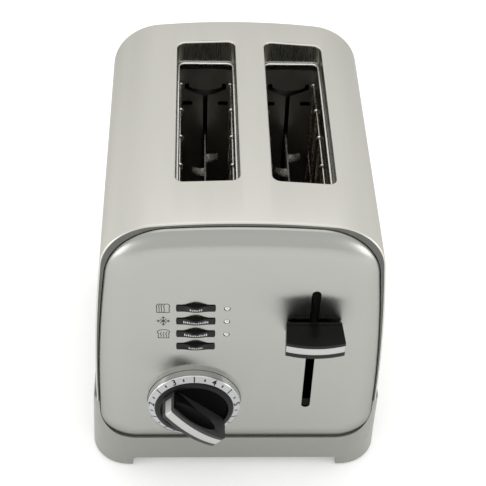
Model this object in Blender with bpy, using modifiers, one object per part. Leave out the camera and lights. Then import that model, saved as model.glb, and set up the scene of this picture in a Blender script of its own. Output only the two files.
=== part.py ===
"""Two-slot pop-up toaster, built as it comes apart on a bench.

Every piece is one named object in metres, +Z up, standing on z = 0 with its
front (lever, buttons, browning dial) towards -Y.
"""
import math

import bmesh
import bpy
from mathutils import Matrix, Vector

MM = 0.001
GAP = 0.3 * MM                      # clearance between neighbouring pieces

# ---- driving dimensions --------------------------------------------------
BODY_LENGTH = 191.5 * MM            # front rim plane to rear rim plane
FRONT_REACH = 33.0 * MM             # dial grip ahead of the front rim plane
REAR_REACH = 7.5 * MM               # tray handle behind the rear rim plane
FRONT = FRONT_REACH - (FRONT_REACH + BODY_LENGTH + REAR_REACH) / 2
REAR = FRONT + BODY_LENGTH

BODY_TOP = 213.5 * MM
BODY_HALF_WIDTH = 87.1 * MM
BASE_TOP = 61.0 * MM                # height of the shell's lower edge
ARCH_HEIGHT = 8.0 * MM              # gap under the base between its feet
FOOT_SPAN = 66.0 * MM               # inner ends of the feet, from the centre
PAD_PROUD = 1.2 * MM                # rubber pads below the base's feet
SHEET = 1.0 * MM                    # shell sheet

SLOT_LENGTH = 133.5 * MM
SLOT_WIDTH = 36.5 * MM
SLOT_START = FRONT + 35.5 * MM
SLOT_MID_Y = SLOT_START + SLOT_LENGTH / 2
SLOT_PITCH = 54.8 * MM
SLOTS_OFFSET = 7.5 * MM             # both slots stand off-centre, to the lever side
SLOT_X = {"left": SLOTS_OFFSET - SLOT_PITCH / 2, "right": SLOTS_OFFSET + SLOT_PITCH / 2}
SLOT_CORNER = 5.0 * MM
COLLAR_DEPTH = 17.0 * MM

PANEL_BULGE = 8.0 * MM
PANEL_EDGE = 17.0 * MM              # width of the curved margin round the flat middle
PANEL_STEPS = 5                     # rings in the curved margin
PANEL_SHEET = 1.5 * MM
PANEL_FACE = FRONT - PANEL_BULGE
REAR_BULGE = 5.0 * MM
PANEL_GAP = 0.35 * MM               # seam round the panels in the base

LEVER_X = 41.9 * MM
LEVER_SLOT_WIDTH = 5.3 * MM
LEVER_SLOT_LOW = 65.6 * MM
LEVER_SLOT_HIGH = 168.4 * MM
LEVER_Z = 139.1 * MM                # middle of the lever knob with the carriage up
KNOB_HEIGHT = 10.6 * MM
KNOB_REAR = PANEL_FACE - 1.5 * MM
KNOB_END_DEPTH = 16.0 * MM
KNOB_DEPTH = 18.5 * MM
KNOB_HALF_WIDTH = 17.0 * MM
KNOB_STRIP_HEIGHT = 5.2 * MM        # groove for the bright strip
KNOB_STRIP_DEPTH = 1.4 * MM

BUTTON_X = -26.15 * MM
BUTTON_WIDTH = 22.0 * MM
BUTTON_HEIGHT = 4.9 * MM
BUTTON_TOP_Z = 154.5 * MM
BUTTON_PITCH = 10.8 * MM
BUTTON_TRAVEL = 1.8 * MM
BUTTON_PROUD = 2.0 * MM             # middle of a key ahead of the panel
BUTTON_BOW = 1.5 * MM               # its ends stand back from there
BUTTON_NAMES = ("button_max", "button_defrost", "button_reheat", "button_stop")
LAMP_X = -8.3 * MM
LAMP_TOP_Z = 154.0 * MM
LAMP_RADIUS = 1.75 * MM

DIAL_X = -26.7 * MM
DIAL_Z = 72.2 * MM
BEZEL_RADIUS = 28.4 * MM
DIAL_RADIUS = 24.0 * MM
DIAL_REST_TILT = math.radians(42.5) # the grip's slope below horizontal
GRIP_LENGTH = 42.0 * MM
GRIP_THICKNESS = 10.0 * MM
GRIP_FACE = 22.2 * MM               # ends and middle of the grip, ahead of the panel face
GRIP_MIDDLE = FRONT_REACH - PANEL_BULGE
GRIP_STRIP = 5.6 * MM               # groove for the bright strip round the grip
BEZEL_SEAT = 3.6 * MM               # seat, lip and disc, ahead of the panel face
BEZEL_LIP = 4.8 * MM
SCALE_OUTER = 4.6 * MM              # the scale ring is a shallow cone, rising to the disc
SCALE_INNER = 6.8 * MM
DISC_FACE = 7.8 * MM

FRONT_PLATE_Y = FRONT + 31.5 * MM   # end plates of the toasting chamber
REAR_PLATE_Y = FRONT + 173.0 * MM
PLATE = 1.0 * MM
CHASSIS_TOP = 191.0 * MM
GUIDE_PIVOT_Z = 177.5 * MM
GUIDE_OFFSET = 16.5 * MM            # bread guides either side of a slot's middle
RACK_TOP_Z = 137.0 * MM
TRAY_HALF_WIDTH = 60.0 * MM
TRAY_Z = 12.6 * MM

BASE_LEVELS = (                     # height, half width, ahead of the rims, corner radius
    (1.2 * MM, 92.5 * MM, 3.4 * MM, 24.0 * MM),
    (8.0 * MM, 92.3 * MM, 3.4 * MM, 24.0 * MM),
    (20.0 * MM, 91.3 * MM, 3.2 * MM, 22.0 * MM),
    (33.0 * MM, 90.3 * MM, 2.6 * MM, 17.0 * MM),
    (47.0 * MM, 89.6 * MM, 1.6 * MM, 11.0 * MM),
    (60.2 * MM, 89.3 * MM, 1.0 * MM, 8.0 * MM),
    (BASE_TOP, 88.5 * MM, 0.4 * MM, 7.2 * MM),
)
BASE_WALL = 3.2 * MM
BASE_MIDDLE = (FRONT + REAR) / 2
RECESS_HALF_WIDTH = BODY_HALF_WIDTH + 0.6 * MM
RECESS_CORNER = 30.0 * MM           # the base stands back to the rims inside this outline
LEDGE_LOW = 10.0 * MM
LEDGE_HIGH = 12.0 * MM
FOOT_X = 79.0 * MM                  # middles of the feet, across and along the body
FOOT_Y = BODY_LENGTH / 2 - 12.0 * MM
FOOT_RADIUS = 8.5 * MM
PAD_RADIUS = 6.0 * MM
PLATE_LOW = 8.3 * MM
PLATE_HALF_WIDTH = 84.5 * MM
PLATE_HALF_LENGTH = BODY_LENGTH / 2 - 6.0 * MM
PLATE_BITE = 26.0 * MM              # corners cut off the bottom plate
SCREW_X = 79.0 * MM
SCREW_Y = 42.0 * MM
FOUR_CORNERS = ((1, 1), (1, -1), (-1, 1), (-1, -1))

CORD_X = -58.0 * MM
CORD_Z = 62.0 * MM
GLAND_RADIUS = 6.5 * MM

MICA_X = {"left": SLOTS_OFFSET - 52 * MM, "centre": SLOTS_OFFSET, "right": SLOTS_OFFSET + 52 * MM}
MICA_LOW = 46.0 * MM
MICA_HIGH = 178.0 * MM
RIBBON_RUNS = 9
RIBBON_PITCH = 13.5 * MM
REFLECTOR_X = 58.0 * MM             # from the middle between the slots

RACK_TABS = 8
RACK_TAB_START = REAR_PLATE_Y - 22.5 * MM
RACK_TAB_PITCH = 14.5 * MM
GUIDE_PITCH = 27.0 * MM
GUIDE_WIRE_END = REAR_PLATE_Y - 1.8 * MM
GUIDE_LOW = 72.0 * MM
GUIDE_WIRE = 1.8 * MM

BRACKET_Y = FRONT + 25.0 * MM
SPRING_X = 31.0 * MM
SPRING_TOP = 182.0 * MM
SPRING_LOW = 142.0 * MM
ROD_X = 20.0 * MM
ROD_Y = FRONT + 19.0 * MM
BOARD_Y = FRONT + 10.5 * MM
MAGNET_X = 2.0 * MM
MAGNET_Y = FRONT + 20.0 * MM
MAGNET_LOW = 27.0 * MM

ROUND = 32                          # sides of round pieces


# ---- scene and materials ---------------------------------------------------
def clear_scene():
    for item in list(bpy.data.objects):
        bpy.data.objects.remove(item, do_unlink=True)


def new_collection(name):
    collection = bpy.data.collections.new(name)
    bpy.context.scene.collection.children.link(collection)
    return collection


def look(name, colour, roughness, metallic=0.0):
    material = bpy.data.materials.new(name)
    material.use_nodes = True
    shader = material.node_tree.nodes["Principled BSDF"]
    shader.inputs["Base Color"].default_value = (*colour, 1.0)
    shader.inputs["Roughness"].default_value = roughness
    shader.inputs["Metallic"].default_value = metallic
    return material


LOOKS = {
    "brushed_steel": ((0.60, 0.60, 0.57), 0.34, 1.0),
    "satin_steel": ((0.52, 0.52, 0.49), 0.40, 1.0),
    "chrome": ((0.80, 0.80, 0.80), 0.10, 1.0),
    "plated_steel": ((0.45, 0.45, 0.44), 0.35, 1.0),
    "painted_base": ((0.35, 0.35, 0.33), 0.42, 0.6),
    "black_plastic": ((0.012, 0.012, 0.013), 0.28, 0.0),
    "silver_trim": ((0.70, 0.70, 0.69), 0.30, 0.7),
    "white_scale": ((0.72, 0.73, 0.72), 0.35, 0.2),
    "clear_lens": ((0.85, 0.86, 0.85), 0.12, 0.0),
    "rubber": ((0.03, 0.03, 0.03), 0.80, 0.0),
    "mica": ((0.42, 0.36, 0.27), 0.60, 0.0),
    "nichrome": ((0.30, 0.27, 0.24), 0.45, 1.0),
    "green_board": ((0.03, 0.16, 0.07), 0.50, 0.0),
    "magnet_iron": ((0.25, 0.25, 0.26), 0.45, 1.0),
    "copper_winding": ((0.55, 0.24, 0.10), 0.40, 1.0),
}


# ---- shape helpers -----------------------------------------------------------
def add_object(name, mesh, material, collection, smooth=False):
    item = bpy.data.objects.new(name, mesh)
    collection.objects.link(item)
    mesh.materials.clear()
    if material is not None:
        mesh.materials.append(material)
    mesh.polygons.foreach_set("use_smooth", [smooth] * len(mesh.polygons))
    return item


def as_cutter(item):
    item.hide_render = True
    item.display_type = "WIRE"
    return item


def bevel(item, width, segments=2, angle=40.0):
    modifier = item.modifiers.new("Rounded edges", "BEVEL")
    modifier.width = width
    modifier.segments = segments
    modifier.limit_method = "ANGLE"
    modifier.angle_limit = math.radians(angle)
    return item


def cut(item, cutter, operation="DIFFERENCE"):
    modifier = item.modifiers.new(operation.title(), "BOOLEAN")
    modifier.operation = operation
    modifier.solver = "EXACT"
    modifier.object = cutter
    return item


def box(name, low, high, material, collection, smooth=False):
    """A block between two corners, with its origin at its middle."""
    low, high = Vector(low), Vector(high)
    mesh = bpy.data.meshes.new(name)
    form = bmesh.new()
    bmesh.ops.create_cube(form, size=1.0)
    bmesh.ops.scale(form, vec=high - low, verts=form.verts)
    form.to_mesh(mesh)
    form.free()
    item = add_object(name, mesh, material, collection, smooth)
    item.location = (low + high) / 2
    return item


def rod(name, start, end, radius, material, collection, sides=ROUND, end_radius=None):
    """A round bar between two points, or a taper when end_radius is given."""
    start, end = Vector(start), Vector(end)
    mesh = bpy.data.meshes.new(name)
    form = bmesh.new()
    bmesh.ops.create_cone(form, cap_ends=True, segments=sides, radius1=radius,
                          radius2=radius if end_radius is None else end_radius,
                          depth=(end - start).length)
    form.to_mesh(mesh)
    form.free()
    item = add_object(name, mesh, material, collection, True)
    item.location = (start + end) / 2
    item.rotation_mode = "QUATERNION"
    item.rotation_quaternion = (end - start).to_track_quat("Z", "Y")
    return item


def turned(name, profile, material, collection, location, facing="FRONT", steps=ROUND):
    """A closed (radius, height) profile turned about local Z, which then faces -Y or +Z."""
    mesh = bpy.data.meshes.new(name)
    form = bmesh.new()
    points = [form.verts.new((radius, 0.0, height)) for radius, height in profile]
    pairs = list(zip(points, points[1:]))
    if profile[0][0] > 0:
        pairs.append((points[-1], points[0]))
    for first, second in pairs:
        form.edges.new((first, second))
    form.to_mesh(mesh)
    form.free()
    item = add_object(name, mesh, material, collection, True)
    screw = item.modifiers.new("Turned", "SCREW")
    screw.steps = steps
    screw.render_steps = steps
    screw.use_merge_vertices = True
    screw.merge_threshold = 0.00002
    screw.use_smooth_shade = True
    item.location = location
    if facing == "FRONT":
        item.rotation_euler = (math.radians(90), 0.0, 0.0)
    elif facing == "REAR":
        item.rotation_euler = (math.radians(-90), 0.0, 0.0)
    return item


FLAT_TURNS = {"X": (math.radians(90), 0.0, math.radians(90)),
              "Y": (math.radians(90), 0.0, 0.0),
              "Z": (0.0, 0.0, 0.0)}


def flat(name, outlines, thickness, across, place, material, collection, smooth=False):
    """A flat outline with windows, across X (outline in y, z), Y (x, z) or Z (x, y)."""
    curve = bpy.data.curves.new(name, "CURVE")
    curve.dimensions = "2D"
    curve.fill_mode = "BOTH"
    curve.extrude = thickness / 2
    for outline in outlines:
        spline = curve.splines.new("POLY")
        spline.points.add(len(outline) - 1)
        for point, (u, v) in zip(spline.points, outline):
            point.co = (u, v, 0.0, 1.0)
        spline.use_cyclic_u = True
    holder = bpy.data.objects.new(name + "_outline", curve)
    collection.objects.link(holder)
    mesh = solid_mesh(holder)
    item = add_object(name, mesh, material, collection, smooth)
    item.location = place
    item.rotation_euler = FLAT_TURNS[across]
    return item


def solid_mesh(holder):
    """The closed mesh of a curve object, which is removed."""
    graph = bpy.context.evaluated_depsgraph_get()
    mesh = bpy.data.meshes.new_from_object(holder.evaluated_get(graph))
    form = bmesh.new()
    form.from_mesh(mesh)
    bmesh.ops.remove_doubles(form, verts=form.verts, dist=0.00001)
    bmesh.ops.recalc_face_normals(form, faces=form.faces)
    form.to_mesh(mesh)
    form.free()
    bpy.data.objects.remove(holder, do_unlink=True)
    return mesh


def wire(name, points, radius, material, collection, resolution=2):
    curve = bpy.data.curves.new(name, "CURVE")
    curve.dimensions = "3D"
    curve.bevel_depth = radius
    curve.bevel_resolution = resolution
    curve.use_fill_caps = True
    spline = curve.splines.new("POLY")
    spline.points.add(len(points) - 1)
    for point, place in zip(spline.points, points):
        point.co = (*place, 1.0)
    item = bpy.data.objects.new(name, curve)
    collection.objects.link(item)
    curve.materials.append(material)
    return item


def skin(name, rows, material, collection, closed=False, cap=False, smooth=True):
    """A surface through rows of equally many points; cap closes the last row."""
    mesh = bpy.data.meshes.new(name)
    form = bmesh.new()
    rings = [[form.verts.new(point) for point in row] for row in rows]
    count = len(rows[0])
    spans = count if closed else count - 1
    for lower, upper in zip(rings, rings[1:]):
        for i in range(spans):
            j = (i + 1) % count
            form.faces.new((lower[i], lower[j], upper[j], upper[i]))
    if cap:
        form.faces.new(rings[-1])
    form.to_mesh(mesh)
    form.free()
    return add_object(name, mesh, material, collection, smooth)


def solidify(item, thickness):
    """Thicken a surface to the side away from its normals."""
    modifier = item.modifiers.new("Sheet", "SOLIDIFY")
    modifier.thickness = thickness
    modifier.offset = -1.0
    modifier.use_even_offset = True
    return item


# ---- outlines -----------------------------------------------------------------
def arc(centre, radius, start, end, steps):
    """Points on an arc, angles in degrees, with their outward directions."""
    points = []
    for i in range(steps + 1):
        angle = math.radians(start + (end - start) * i / steps)
        normal = Vector((math.cos(angle), math.sin(angle)))
        points.append((Vector(centre) + normal * radius, normal))
    return points


def inset(points, distance):
    return [place - normal * distance for place, normal in points]


def rounded_rectangle(half_width, half_height, radius, centre=(0.0, 0.0), steps=4):
    points = []
    corners = ((1, 1, 0), (-1, 1, 90), (-1, -1, 180), (1, -1, 270))
    for sx, sy, start in corners:
        middle = (centre[0] + sx * (half_width - radius), centre[1] + sy * (half_height - radius))
        points += [place for place, normal in arc(middle, radius, start, start + 90, steps)]
    return points


def arch(top, corner, corner_radius, side_x, side_z, foot_z=None, foot_radius=None):
    """The body's section: crowned top, round shoulders and slightly bowed sides.

    Returns (point, outward direction) pairs in x and z, from the right foot over
    the top to the left foot. With foot_radius the outline closes along the bottom.
    """
    cx, cz = corner
    crown = (top - cz) ** 2 + cx ** 2 - corner_radius ** 2
    crown /= 2 * (top - cz - corner_radius)
    bow = (side_x - cx) ** 2 + (side_z - cz) ** 2 - corner_radius ** 2
    bow /= 2 * (side_x - cx - corner_radius)
    shoulder = math.degrees(math.atan2(cz - side_z, cx - side_x + bow))
    crest = 90 - math.degrees(math.atan2(cx, cz - top + crown))
    low = math.degrees(math.asin((foot_z - side_z) / bow)) if foot_radius is None else 0.0
    half = []
    if foot_radius is not None:
        half += arc((side_x - foot_radius, side_z), foot_radius, -90, 0, 4)[:-1]
    half += arc((side_x - bow, side_z), bow, low, shoulder, 3)[:-1]
    half += arc(corner, corner_radius, shoulder, crest, 7)[:-1]
    half += arc((0.0, top - crown), crown, crest, 90, 2)
    mirrored = [(Vector((-place.x, place.y)), Vector((-normal.x, normal.y)))
                for place, normal in reversed(half[:-1])]
    return half + mirrored


SHELL_OUTLINE = arch(BODY_TOP, (46.5 * MM, 177.0 * MM), 34.0 * MM,
                     BODY_HALF_WIDTH, 51.0 * MM, foot_z=BASE_TOP + GAP)
PANEL_OUTLINE = arch(BODY_TOP - 3.0 * MM, (39.3 * MM, 170.5 * MM), 38.5 * MM,
                     85.0 * MM, 51.0 * MM, foot_radius=22.5 * MM)
RIM_INNER = arch(BODY_TOP - 3.0 * MM, (39.3 * MM, 170.5 * MM), 38.5 * MM,
                 85.0 * MM, 51.0 * MM, foot_z=BASE_TOP + GAP)


def crown_height(x):
    """Height of the shell's upper surface at a place across the body."""
    upper = [place for place, normal in SHELL_OUTLINE if place.y > 150 * MM]
    for right, left in zip(upper, upper[1:]):
        if left.x <= x <= right.x:
            share = (x - left.x) / (right.x - left.x)
            return left.y + (right.y - left.y) * share
    raise ValueError("outside the crown")


def stroke(points, width, steps=3):
    """The outline of a path of a given width with round ends."""
    half = width / 2
    path = [Vector(point) for point in points]
    left, right = [], []
    for i, point in enumerate(path):
        ahead = path[min(i + 1, len(path) - 1)]
        behind = path[max(i - 1, 0)]
        direction = (ahead - behind).normalized()
        side = Vector((-direction.y, direction.x))
        left.append(point + side * half)
        right.append(point - side * half)
    start = math.degrees(math.atan2(*(right[-1] - path[-1]).yx))
    end_cap = [place for place, normal in arc(path[-1], half, start, start + 180, steps)][1:-1]
    start = math.degrees(math.atan2(*(left[0] - path[0]).yx))
    start_cap = [place for place, normal in arc(path[0], half, start, start + 180, steps)][1:-1]
    return right + end_cap + list(reversed(left)) + start_cap


# ---- housing ------------------------------------------------------------------
def at(points, y):
    return [(point.x, y, point.y) for point in points]


def outer_shell(material, parts, cutters):
    """The sheet wrapped over the body, with turned-in rims and flanged bread slots."""
    fillet = 1.2 * MM
    rim = inset(RIM_INNER, -0.5 * MM)
    soft = inset(SHELL_OUTLINE, fillet)
    mid = inset(SHELL_OUTLINE, fillet * 0.3)
    full = inset(SHELL_OUTLINE, 0.0)
    rows = [at(rim, FRONT), at(soft, FRONT), at(mid, FRONT + fillet * 0.3), at(full, FRONT + fillet),
            at(full, SLOT_MID_Y),
            at(full, REAR - fillet), at(mid, REAR - fillet * 0.3), at(soft, REAR), at(rim, REAR)]
    shell = solidify(skin("outer_shell", rows[::-1], material, parts), SHEET)
    for side, x in SLOT_X.items():
        outline = rounded_rectangle(SLOT_WIDTH / 2 + SHEET, SLOT_LENGTH / 2 + SHEET,
                                    SLOT_CORNER + SHEET, (x, SLOT_MID_Y))
        rows = [[(point.x, point.y, BODY_TOP - COLLAR_DEPTH) for point in outline],
                [(point.x, point.y, crown_height(point.x) - SHEET / 2) for point in outline]]
        flange = skin("shell_flange_" + side, rows, None, cutters, closed=True, cap=True)
        close_first_row(flange, len(outline))
        cut(shell, as_cutter(flange), "UNION")
    for side, x in SLOT_X.items():
        outline = rounded_rectangle(SLOT_WIDTH / 2, SLOT_LENGTH / 2, SLOT_CORNER, (x, SLOT_MID_Y))
        hole = flat("shell_slot_" + side, [outline], 40 * MM, "Z",
                    (0, 0, BODY_TOP - 15 * MM), None, cutters)
        cut(shell, as_cutter(hole))
    return shell


def pillow(name, plane, bulge, sign, material, parts):
    """A pressed end panel: flat middle, margin curving back to the rim, short skirt."""
    rows = [at(inset(PANEL_OUTLINE, 0.0), plane - sign * 5.0 * MM)]
    for i in range(PANEL_STEPS + 1):
        across = i / PANEL_STEPS
        rise = (1 - (1 - across) ** 2) ** 0.75
        rows.append(at(inset(PANEL_OUTLINE, PANEL_EDGE * across), plane + sign * bulge * rise))
    if sign > 0:
        rows = [list(reversed(row)) for row in rows]
    return solidify(skin(name, rows, material, parts, closed=True, cap=True), PANEL_SHEET)


def front_panel(material, parts, cutters):
    panel = pillow("front_panel", FRONT, PANEL_BULGE, -1, material, parts)
    middle = (0, FRONT - PANEL_BULGE, 0)
    reach = 12 * MM
    end = LEVER_SLOT_WIDTH / 2
    lever = stroke([(LEVER_X, LEVER_SLOT_LOW + end), (LEVER_X, LEVER_SLOT_HIGH - end)],
                   LEVER_SLOT_WIDTH, 6)
    openings = {"lever_opening": lever}
    for i, name in enumerate(BUTTON_NAMES):
        z = BUTTON_TOP_Z - i * BUTTON_PITCH
        openings[name + "_opening"] = rounded_rectangle(
            BUTTON_WIDTH / 2 + GAP, BUTTON_HEIGHT / 2 + GAP, 0.7 * MM, (BUTTON_X, z), 2)
    for i in range(3):
        z = LAMP_TOP_Z - i * BUTTON_PITCH
        openings["lamp_opening_%d" % (i + 1)] = [
            place for place, normal in arc((LAMP_X, z), LAMP_RADIUS + GAP, 0, 330, 11)]
    openings["dial_opening"] = [
        place for place, normal in arc((DIAL_X, DIAL_Z), BEZEL_RADIUS + GAP, 0, 350, 35)]
    for name, outline in openings.items():
        cut(panel, as_cutter(flat(name, [outline], reach, "Y", middle, None, cutters)))
    return panel


def rear_panel(material, parts, cutters):
    panel = pillow("rear_panel", REAR, REAR_BULGE, 1, material, parts)
    gland = rod("gland_opening", (CORD_X, REAR - 10 * MM, CORD_Z), (CORD_X, REAR + 20 * MM, CORD_Z),
                GLAND_RADIUS + GAP, None, cutters)
    return cut(panel, as_cutter(gland))


def base(material, parts, cutters):
    """The moulded skirt with its four feet, opened at both ends for the panels."""
    length = BODY_LENGTH / 2
    rows = []
    for z, half_width, ahead, radius in BASE_LEVELS:
        outline = rounded_rectangle(half_width, length + ahead, radius, (0, 0), 5)
        rows.append([(point.x, point.y + BASE_MIDDLE, z) for point in outline])
    skirt = solidify(skin("base", rows, material, parts, closed=True), BASE_WALL)
    middle = BASE_MIDDLE
    ledge = flat("base_ledge", [rounded_rectangle(89.5 * MM, length, 20 * MM, (0, middle), 5),
                                rounded_rectangle(70.0 * MM, length - 14 * MM, 10 * MM, (0, middle), 3)],
                 LEDGE_HIGH - LEDGE_LOW, "Z", (0, 0, (LEDGE_LOW + LEDGE_HIGH) / 2), None, cutters)
    cut(skirt, as_cutter(ledge), "UNION")
    for sx, sy in FOUR_CORNERS:
        place = (sx * FOOT_X, middle + sy * FOOT_Y)
        boss = rod("foot_boss", (*place, PAD_PROUD), (*place, 11.0 * MM), FOOT_RADIUS, None, cutters, 24)
        cut(skirt, as_cutter(boss), "UNION")
    corner, edge = RECESS_CORNER, RECESS_HALF_WIDTH
    bottom = PANEL_OUTLINE[0][0].y - PANEL_GAP
    recess = [Vector((edge, BASE_TOP + 10 * MM)), Vector((-edge, BASE_TOP + 10 * MM))]
    recess += [place for place, normal in arc((corner - edge, bottom + corner), corner, 180, 270, 8)]
    recess += [place for place, normal in arc((edge - corner, bottom + corner), corner, 270, 360, 8)]
    for plane, sign in ((FRONT, -1), (REAR, 1)):
        cut(skirt, as_cutter(flat("panel_opening", [inset(PANEL_OUTLINE, -PANEL_GAP)], 28 * MM, "Y",
                                  (0, plane, 0), None, cutters)))
        cut(skirt, as_cutter(flat("rim_recess", [recess], 10 * MM, "Y",
                                  (0, plane + sign * 5 * MM, 0), None, cutters)))
    reach = length + 20 * MM
    notch = 3.0 * MM
    side_span = length - 24 * MM
    arches = (("arch_front_to_rear", FOOT_SPAN, "Y", 0.0), ("arch_side_to_side", side_span, "X", middle))
    for name, span, across, shift in arches:
        outline = [Vector((shift + u, v)) for u, v in (
            (-span, -2 * MM), (span, -2 * MM), (span - 1 * MM, ARCH_HEIGHT - notch),
            (span - notch, ARCH_HEIGHT), (notch - span, ARCH_HEIGHT), (1 * MM - span, ARCH_HEIGHT - notch))]
        place = (0, middle, 0) if across == "Y" else (0, 0, 0)
        cut(skirt, as_cutter(flat(name, [outline], 2 * reach, across, place, None, cutters)))
    mouth = box("tray_mouth", (-TRAY_HALF_WIDTH - 1 * MM, REAR - 20 * MM, TRAY_Z - GAP),
                (TRAY_HALF_WIDTH + 1 * MM, REAR + 20 * MM, TRAY_Z + 8.5 * MM), None, cutters)
    cut(skirt, as_cutter(mouth))
    for sx, sy in FOUR_CORNERS:
        place = (sx * FOOT_X, middle + sy * FOOT_Y)
        cut(skirt, as_cutter(rod("pad_socket", (*place, -1 * MM), (*place, 4.5 * MM),
                                 PAD_RADIUS + 0.4 * MM, None, cutters, 24)))
        hole = (sx * SCREW_X, middle + sy * SCREW_Y)
        cut(skirt, as_cutter(rod("screw_hole", (*hole, 8 * MM), (*hole, 14 * MM),
                                 1.9 * MM, None, cutters, 12)))
    return skirt


def close_first_row(item, count):
    form = bmesh.new()
    form.from_mesh(item.data)
    form.verts.ensure_lookup_table()
    form.faces.new([form.verts[i] for i in reversed(range(count))])
    bmesh.ops.recalc_face_normals(form, faces=form.faces)
    form.to_mesh(item.data)
    form.free()


def foot_pads(material, parts):
    names = {(1, 1): "foot_pad_rear_right", (-1, 1): "foot_pad_rear_left",
             (1, -1): "foot_pad_front_right", (-1, -1): "foot_pad_front_left"}
    for (sx, sy), name in names.items():
        place = (sx * FOOT_X, BASE_MIDDLE + sy * FOOT_Y)
        profile = [(0, 4.2 * MM), (PAD_RADIUS, 4.2 * MM), (PAD_RADIUS, 0.6 * MM),
                   (PAD_RADIUS - 0.6 * MM, 0.0), (0, 0.0)]
        turned(name, profile, material, parts, (*place, 0.0), "UP", 24)


def bottom_plate(material, screw_material, parts, cutters):
    middle = BASE_MIDDLE
    wide, long = PLATE_HALF_WIDTH, PLATE_HALF_LENGTH
    quarter = [(wide, long - PLATE_BITE), (wide - PLATE_BITE, long)]
    outline = [Vector((x, middle + y)) for x, y in quarter]
    outline += [Vector((-x, middle + y)) for x, y in quarter[::-1]]
    outline += [Vector((-x, middle - y)) for x, y in quarter]
    outline += [Vector((x, middle - y)) for x, y in quarter[::-1]]
    plate = flat("bottom_plate", [outline], 1.2 * MM, "Z", (0, 0, PLATE_LOW + 0.6 * MM), material, parts)
    for i, (sx, sy) in enumerate(FOUR_CORNERS):
        place = (sx * SCREW_X, middle + sy * SCREW_Y)
        cut(plate, as_cutter(rod("plate_hole", (*place, 7 * MM), (*place, 12 * MM),
                                 1.9 * MM, None, cutters, 12)))
        profile = [(0, 15.0 * MM), (1.5 * MM, 14.0 * MM), (1.5 * MM, 8.0 * MM), (3.4 * MM, 8.0 * MM),
                   (3.0 * MM, 6.6 * MM), (1.6 * MM, 6.1 * MM), (0, 6.0 * MM)]
        turned("bottom_screw_%d" % (i + 1), profile, screw_material, parts, (*place, 0.0), "UP", 16)
    return plate


# ---- toasting chamber ------------------------------------------------------------
def end_plate(name, y, material, parts):
    """A chamber end: arched over the crumb tray, slotted for racks and guides."""
    leg_in, leg_out, top_half = 65 * MM, 79 * MM, 73 * MM
    foot, bridge = LEDGE_HIGH + GAP, 26 * MM
    top = CHASSIS_TOP - PLATE - GAP
    shoulder = 168 * MM
    outline = [Vector(point) for point in (
        (-leg_out, foot), (-leg_in, foot), (-leg_in, bridge), (leg_in, bridge), (leg_in, foot),
        (leg_out, foot), (leg_out, shoulder), (top_half, top), (-top_half, top), (-leg_out, shoulder))]
    windows = []
    fork = 169.4 * MM
    for x in SLOT_X.values():
        right = [Vector((x + u, v)) for u, v in (
            (1.5 * MM, 50 * MM), (1.5 * MM, fork - 2 * MM), (8.5 * MM, fork + 0.5 * MM),
            (13.6 * MM, fork + 3.2 * MM), (13.6 * MM, fork + 7.6 * MM), (11.0 * MM, fork + 8.2 * MM),
            (10.6 * MM, fork + 5.2 * MM), (7.0 * MM, fork + 3.6 * MM), (0.0, fork + 2.4 * MM))]
        slot = right + [Vector((2 * x - point.x, point.y)) for point in right[-2::-1]]
        windows.append(slot)
        for side in (-1, 1):
            windows.append(rounded_rectangle(3.3 * MM, 1.8 * MM, 0.5 * MM,
                                             (x + side * 11.8 * MM, 161 * MM), 1))
            pivot = (x + side * GUIDE_OFFSET, GUIDE_PIVOT_Z)
            windows.append([place for place, normal in arc(pivot, 1.4 * MM, 0, 315, 7)])
    return flat(name, [outline] + windows, PLATE, "Y", (0, y, 0), material, parts)


def front_end_plate(material, parts, cutters):
    """The front end plate carries two lugs that hold the carriage's guide rod."""
    plate = end_plate("front_end_plate", FRONT_PLATE_Y, material, parts)
    for name, low in (("rod_lug_low", 34 * MM), ("rod_lug_high", 184 * MM)):
        lug = box(name, (ROD_X - 6 * MM, ROD_Y - 5 * MM, low), (ROD_X + 6 * MM, FRONT_PLATE_Y, low + 2 * MM),
                  None, cutters)
        cut(plate, as_cutter(lug), "UNION")
    shelf = box("magnet_shelf", (MAGNET_X - 11 * MM, MAGNET_Y - 9 * MM, 25.0 * MM),
                (MAGNET_X + 11 * MM, FRONT_PLATE_Y, MAGNET_LOW - GAP), None, cutters)
    cut(plate, as_cutter(shelf), "UNION")
    hole = rod("rod_holes", (ROD_X, ROD_Y, 30 * MM), (ROD_X, ROD_Y, 190 * MM), 2.3 * MM, None, cutters, 16)
    return cut(plate, as_cutter(hole))


def chassis_top(material, parts):
    outline = rounded_rectangle(66 * MM, (REAR_PLATE_Y - FRONT_PLATE_Y) / 2 + 3 * MM, 3 * MM,
                                (SLOTS_OFFSET, (REAR_PLATE_Y + FRONT_PLATE_Y) / 2), 2)
    windows = [rounded_rectangle(SLOT_WIDTH / 2 + 0.5 * MM, SLOT_LENGTH / 2 + 0.5 * MM, SLOT_CORNER,
                                 (x, SLOT_MID_Y), 3) for x in SLOT_X.values()]
    return flat("chassis_top_plate", [outline] + windows, PLATE, "Z",
                (0, 0, CHASSIS_TOP - PLATE / 2), material, parts)


def chamber_sides(material, parts):
    """Heat reflectors either side of the chamber, each with a turned-in lower edge."""
    near = FRONT_PLATE_Y + PLATE / 2 + GAP
    far = REAR_PLATE_Y - PLATE / 2 - GAP
    for side, sign in (("left", -1), ("right", 1)):
        x = SLOTS_OFFSET + sign * REFLECTOR_X
        outline = [Vector(point) for point in (
            (x, 27 * MM), (x, 189 * MM), (x + sign * 0.8 * MM, 189 * MM), (x + sign * 0.8 * MM, 26.2 * MM),
            (x - sign * 9 * MM, 26.2 * MM), (x - sign * 9 * MM, 27 * MM))]
        flat("heat_reflector_" + side, [outline], far - near, "Y", (0, (near + far) / 2, 0), material, parts)


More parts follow.
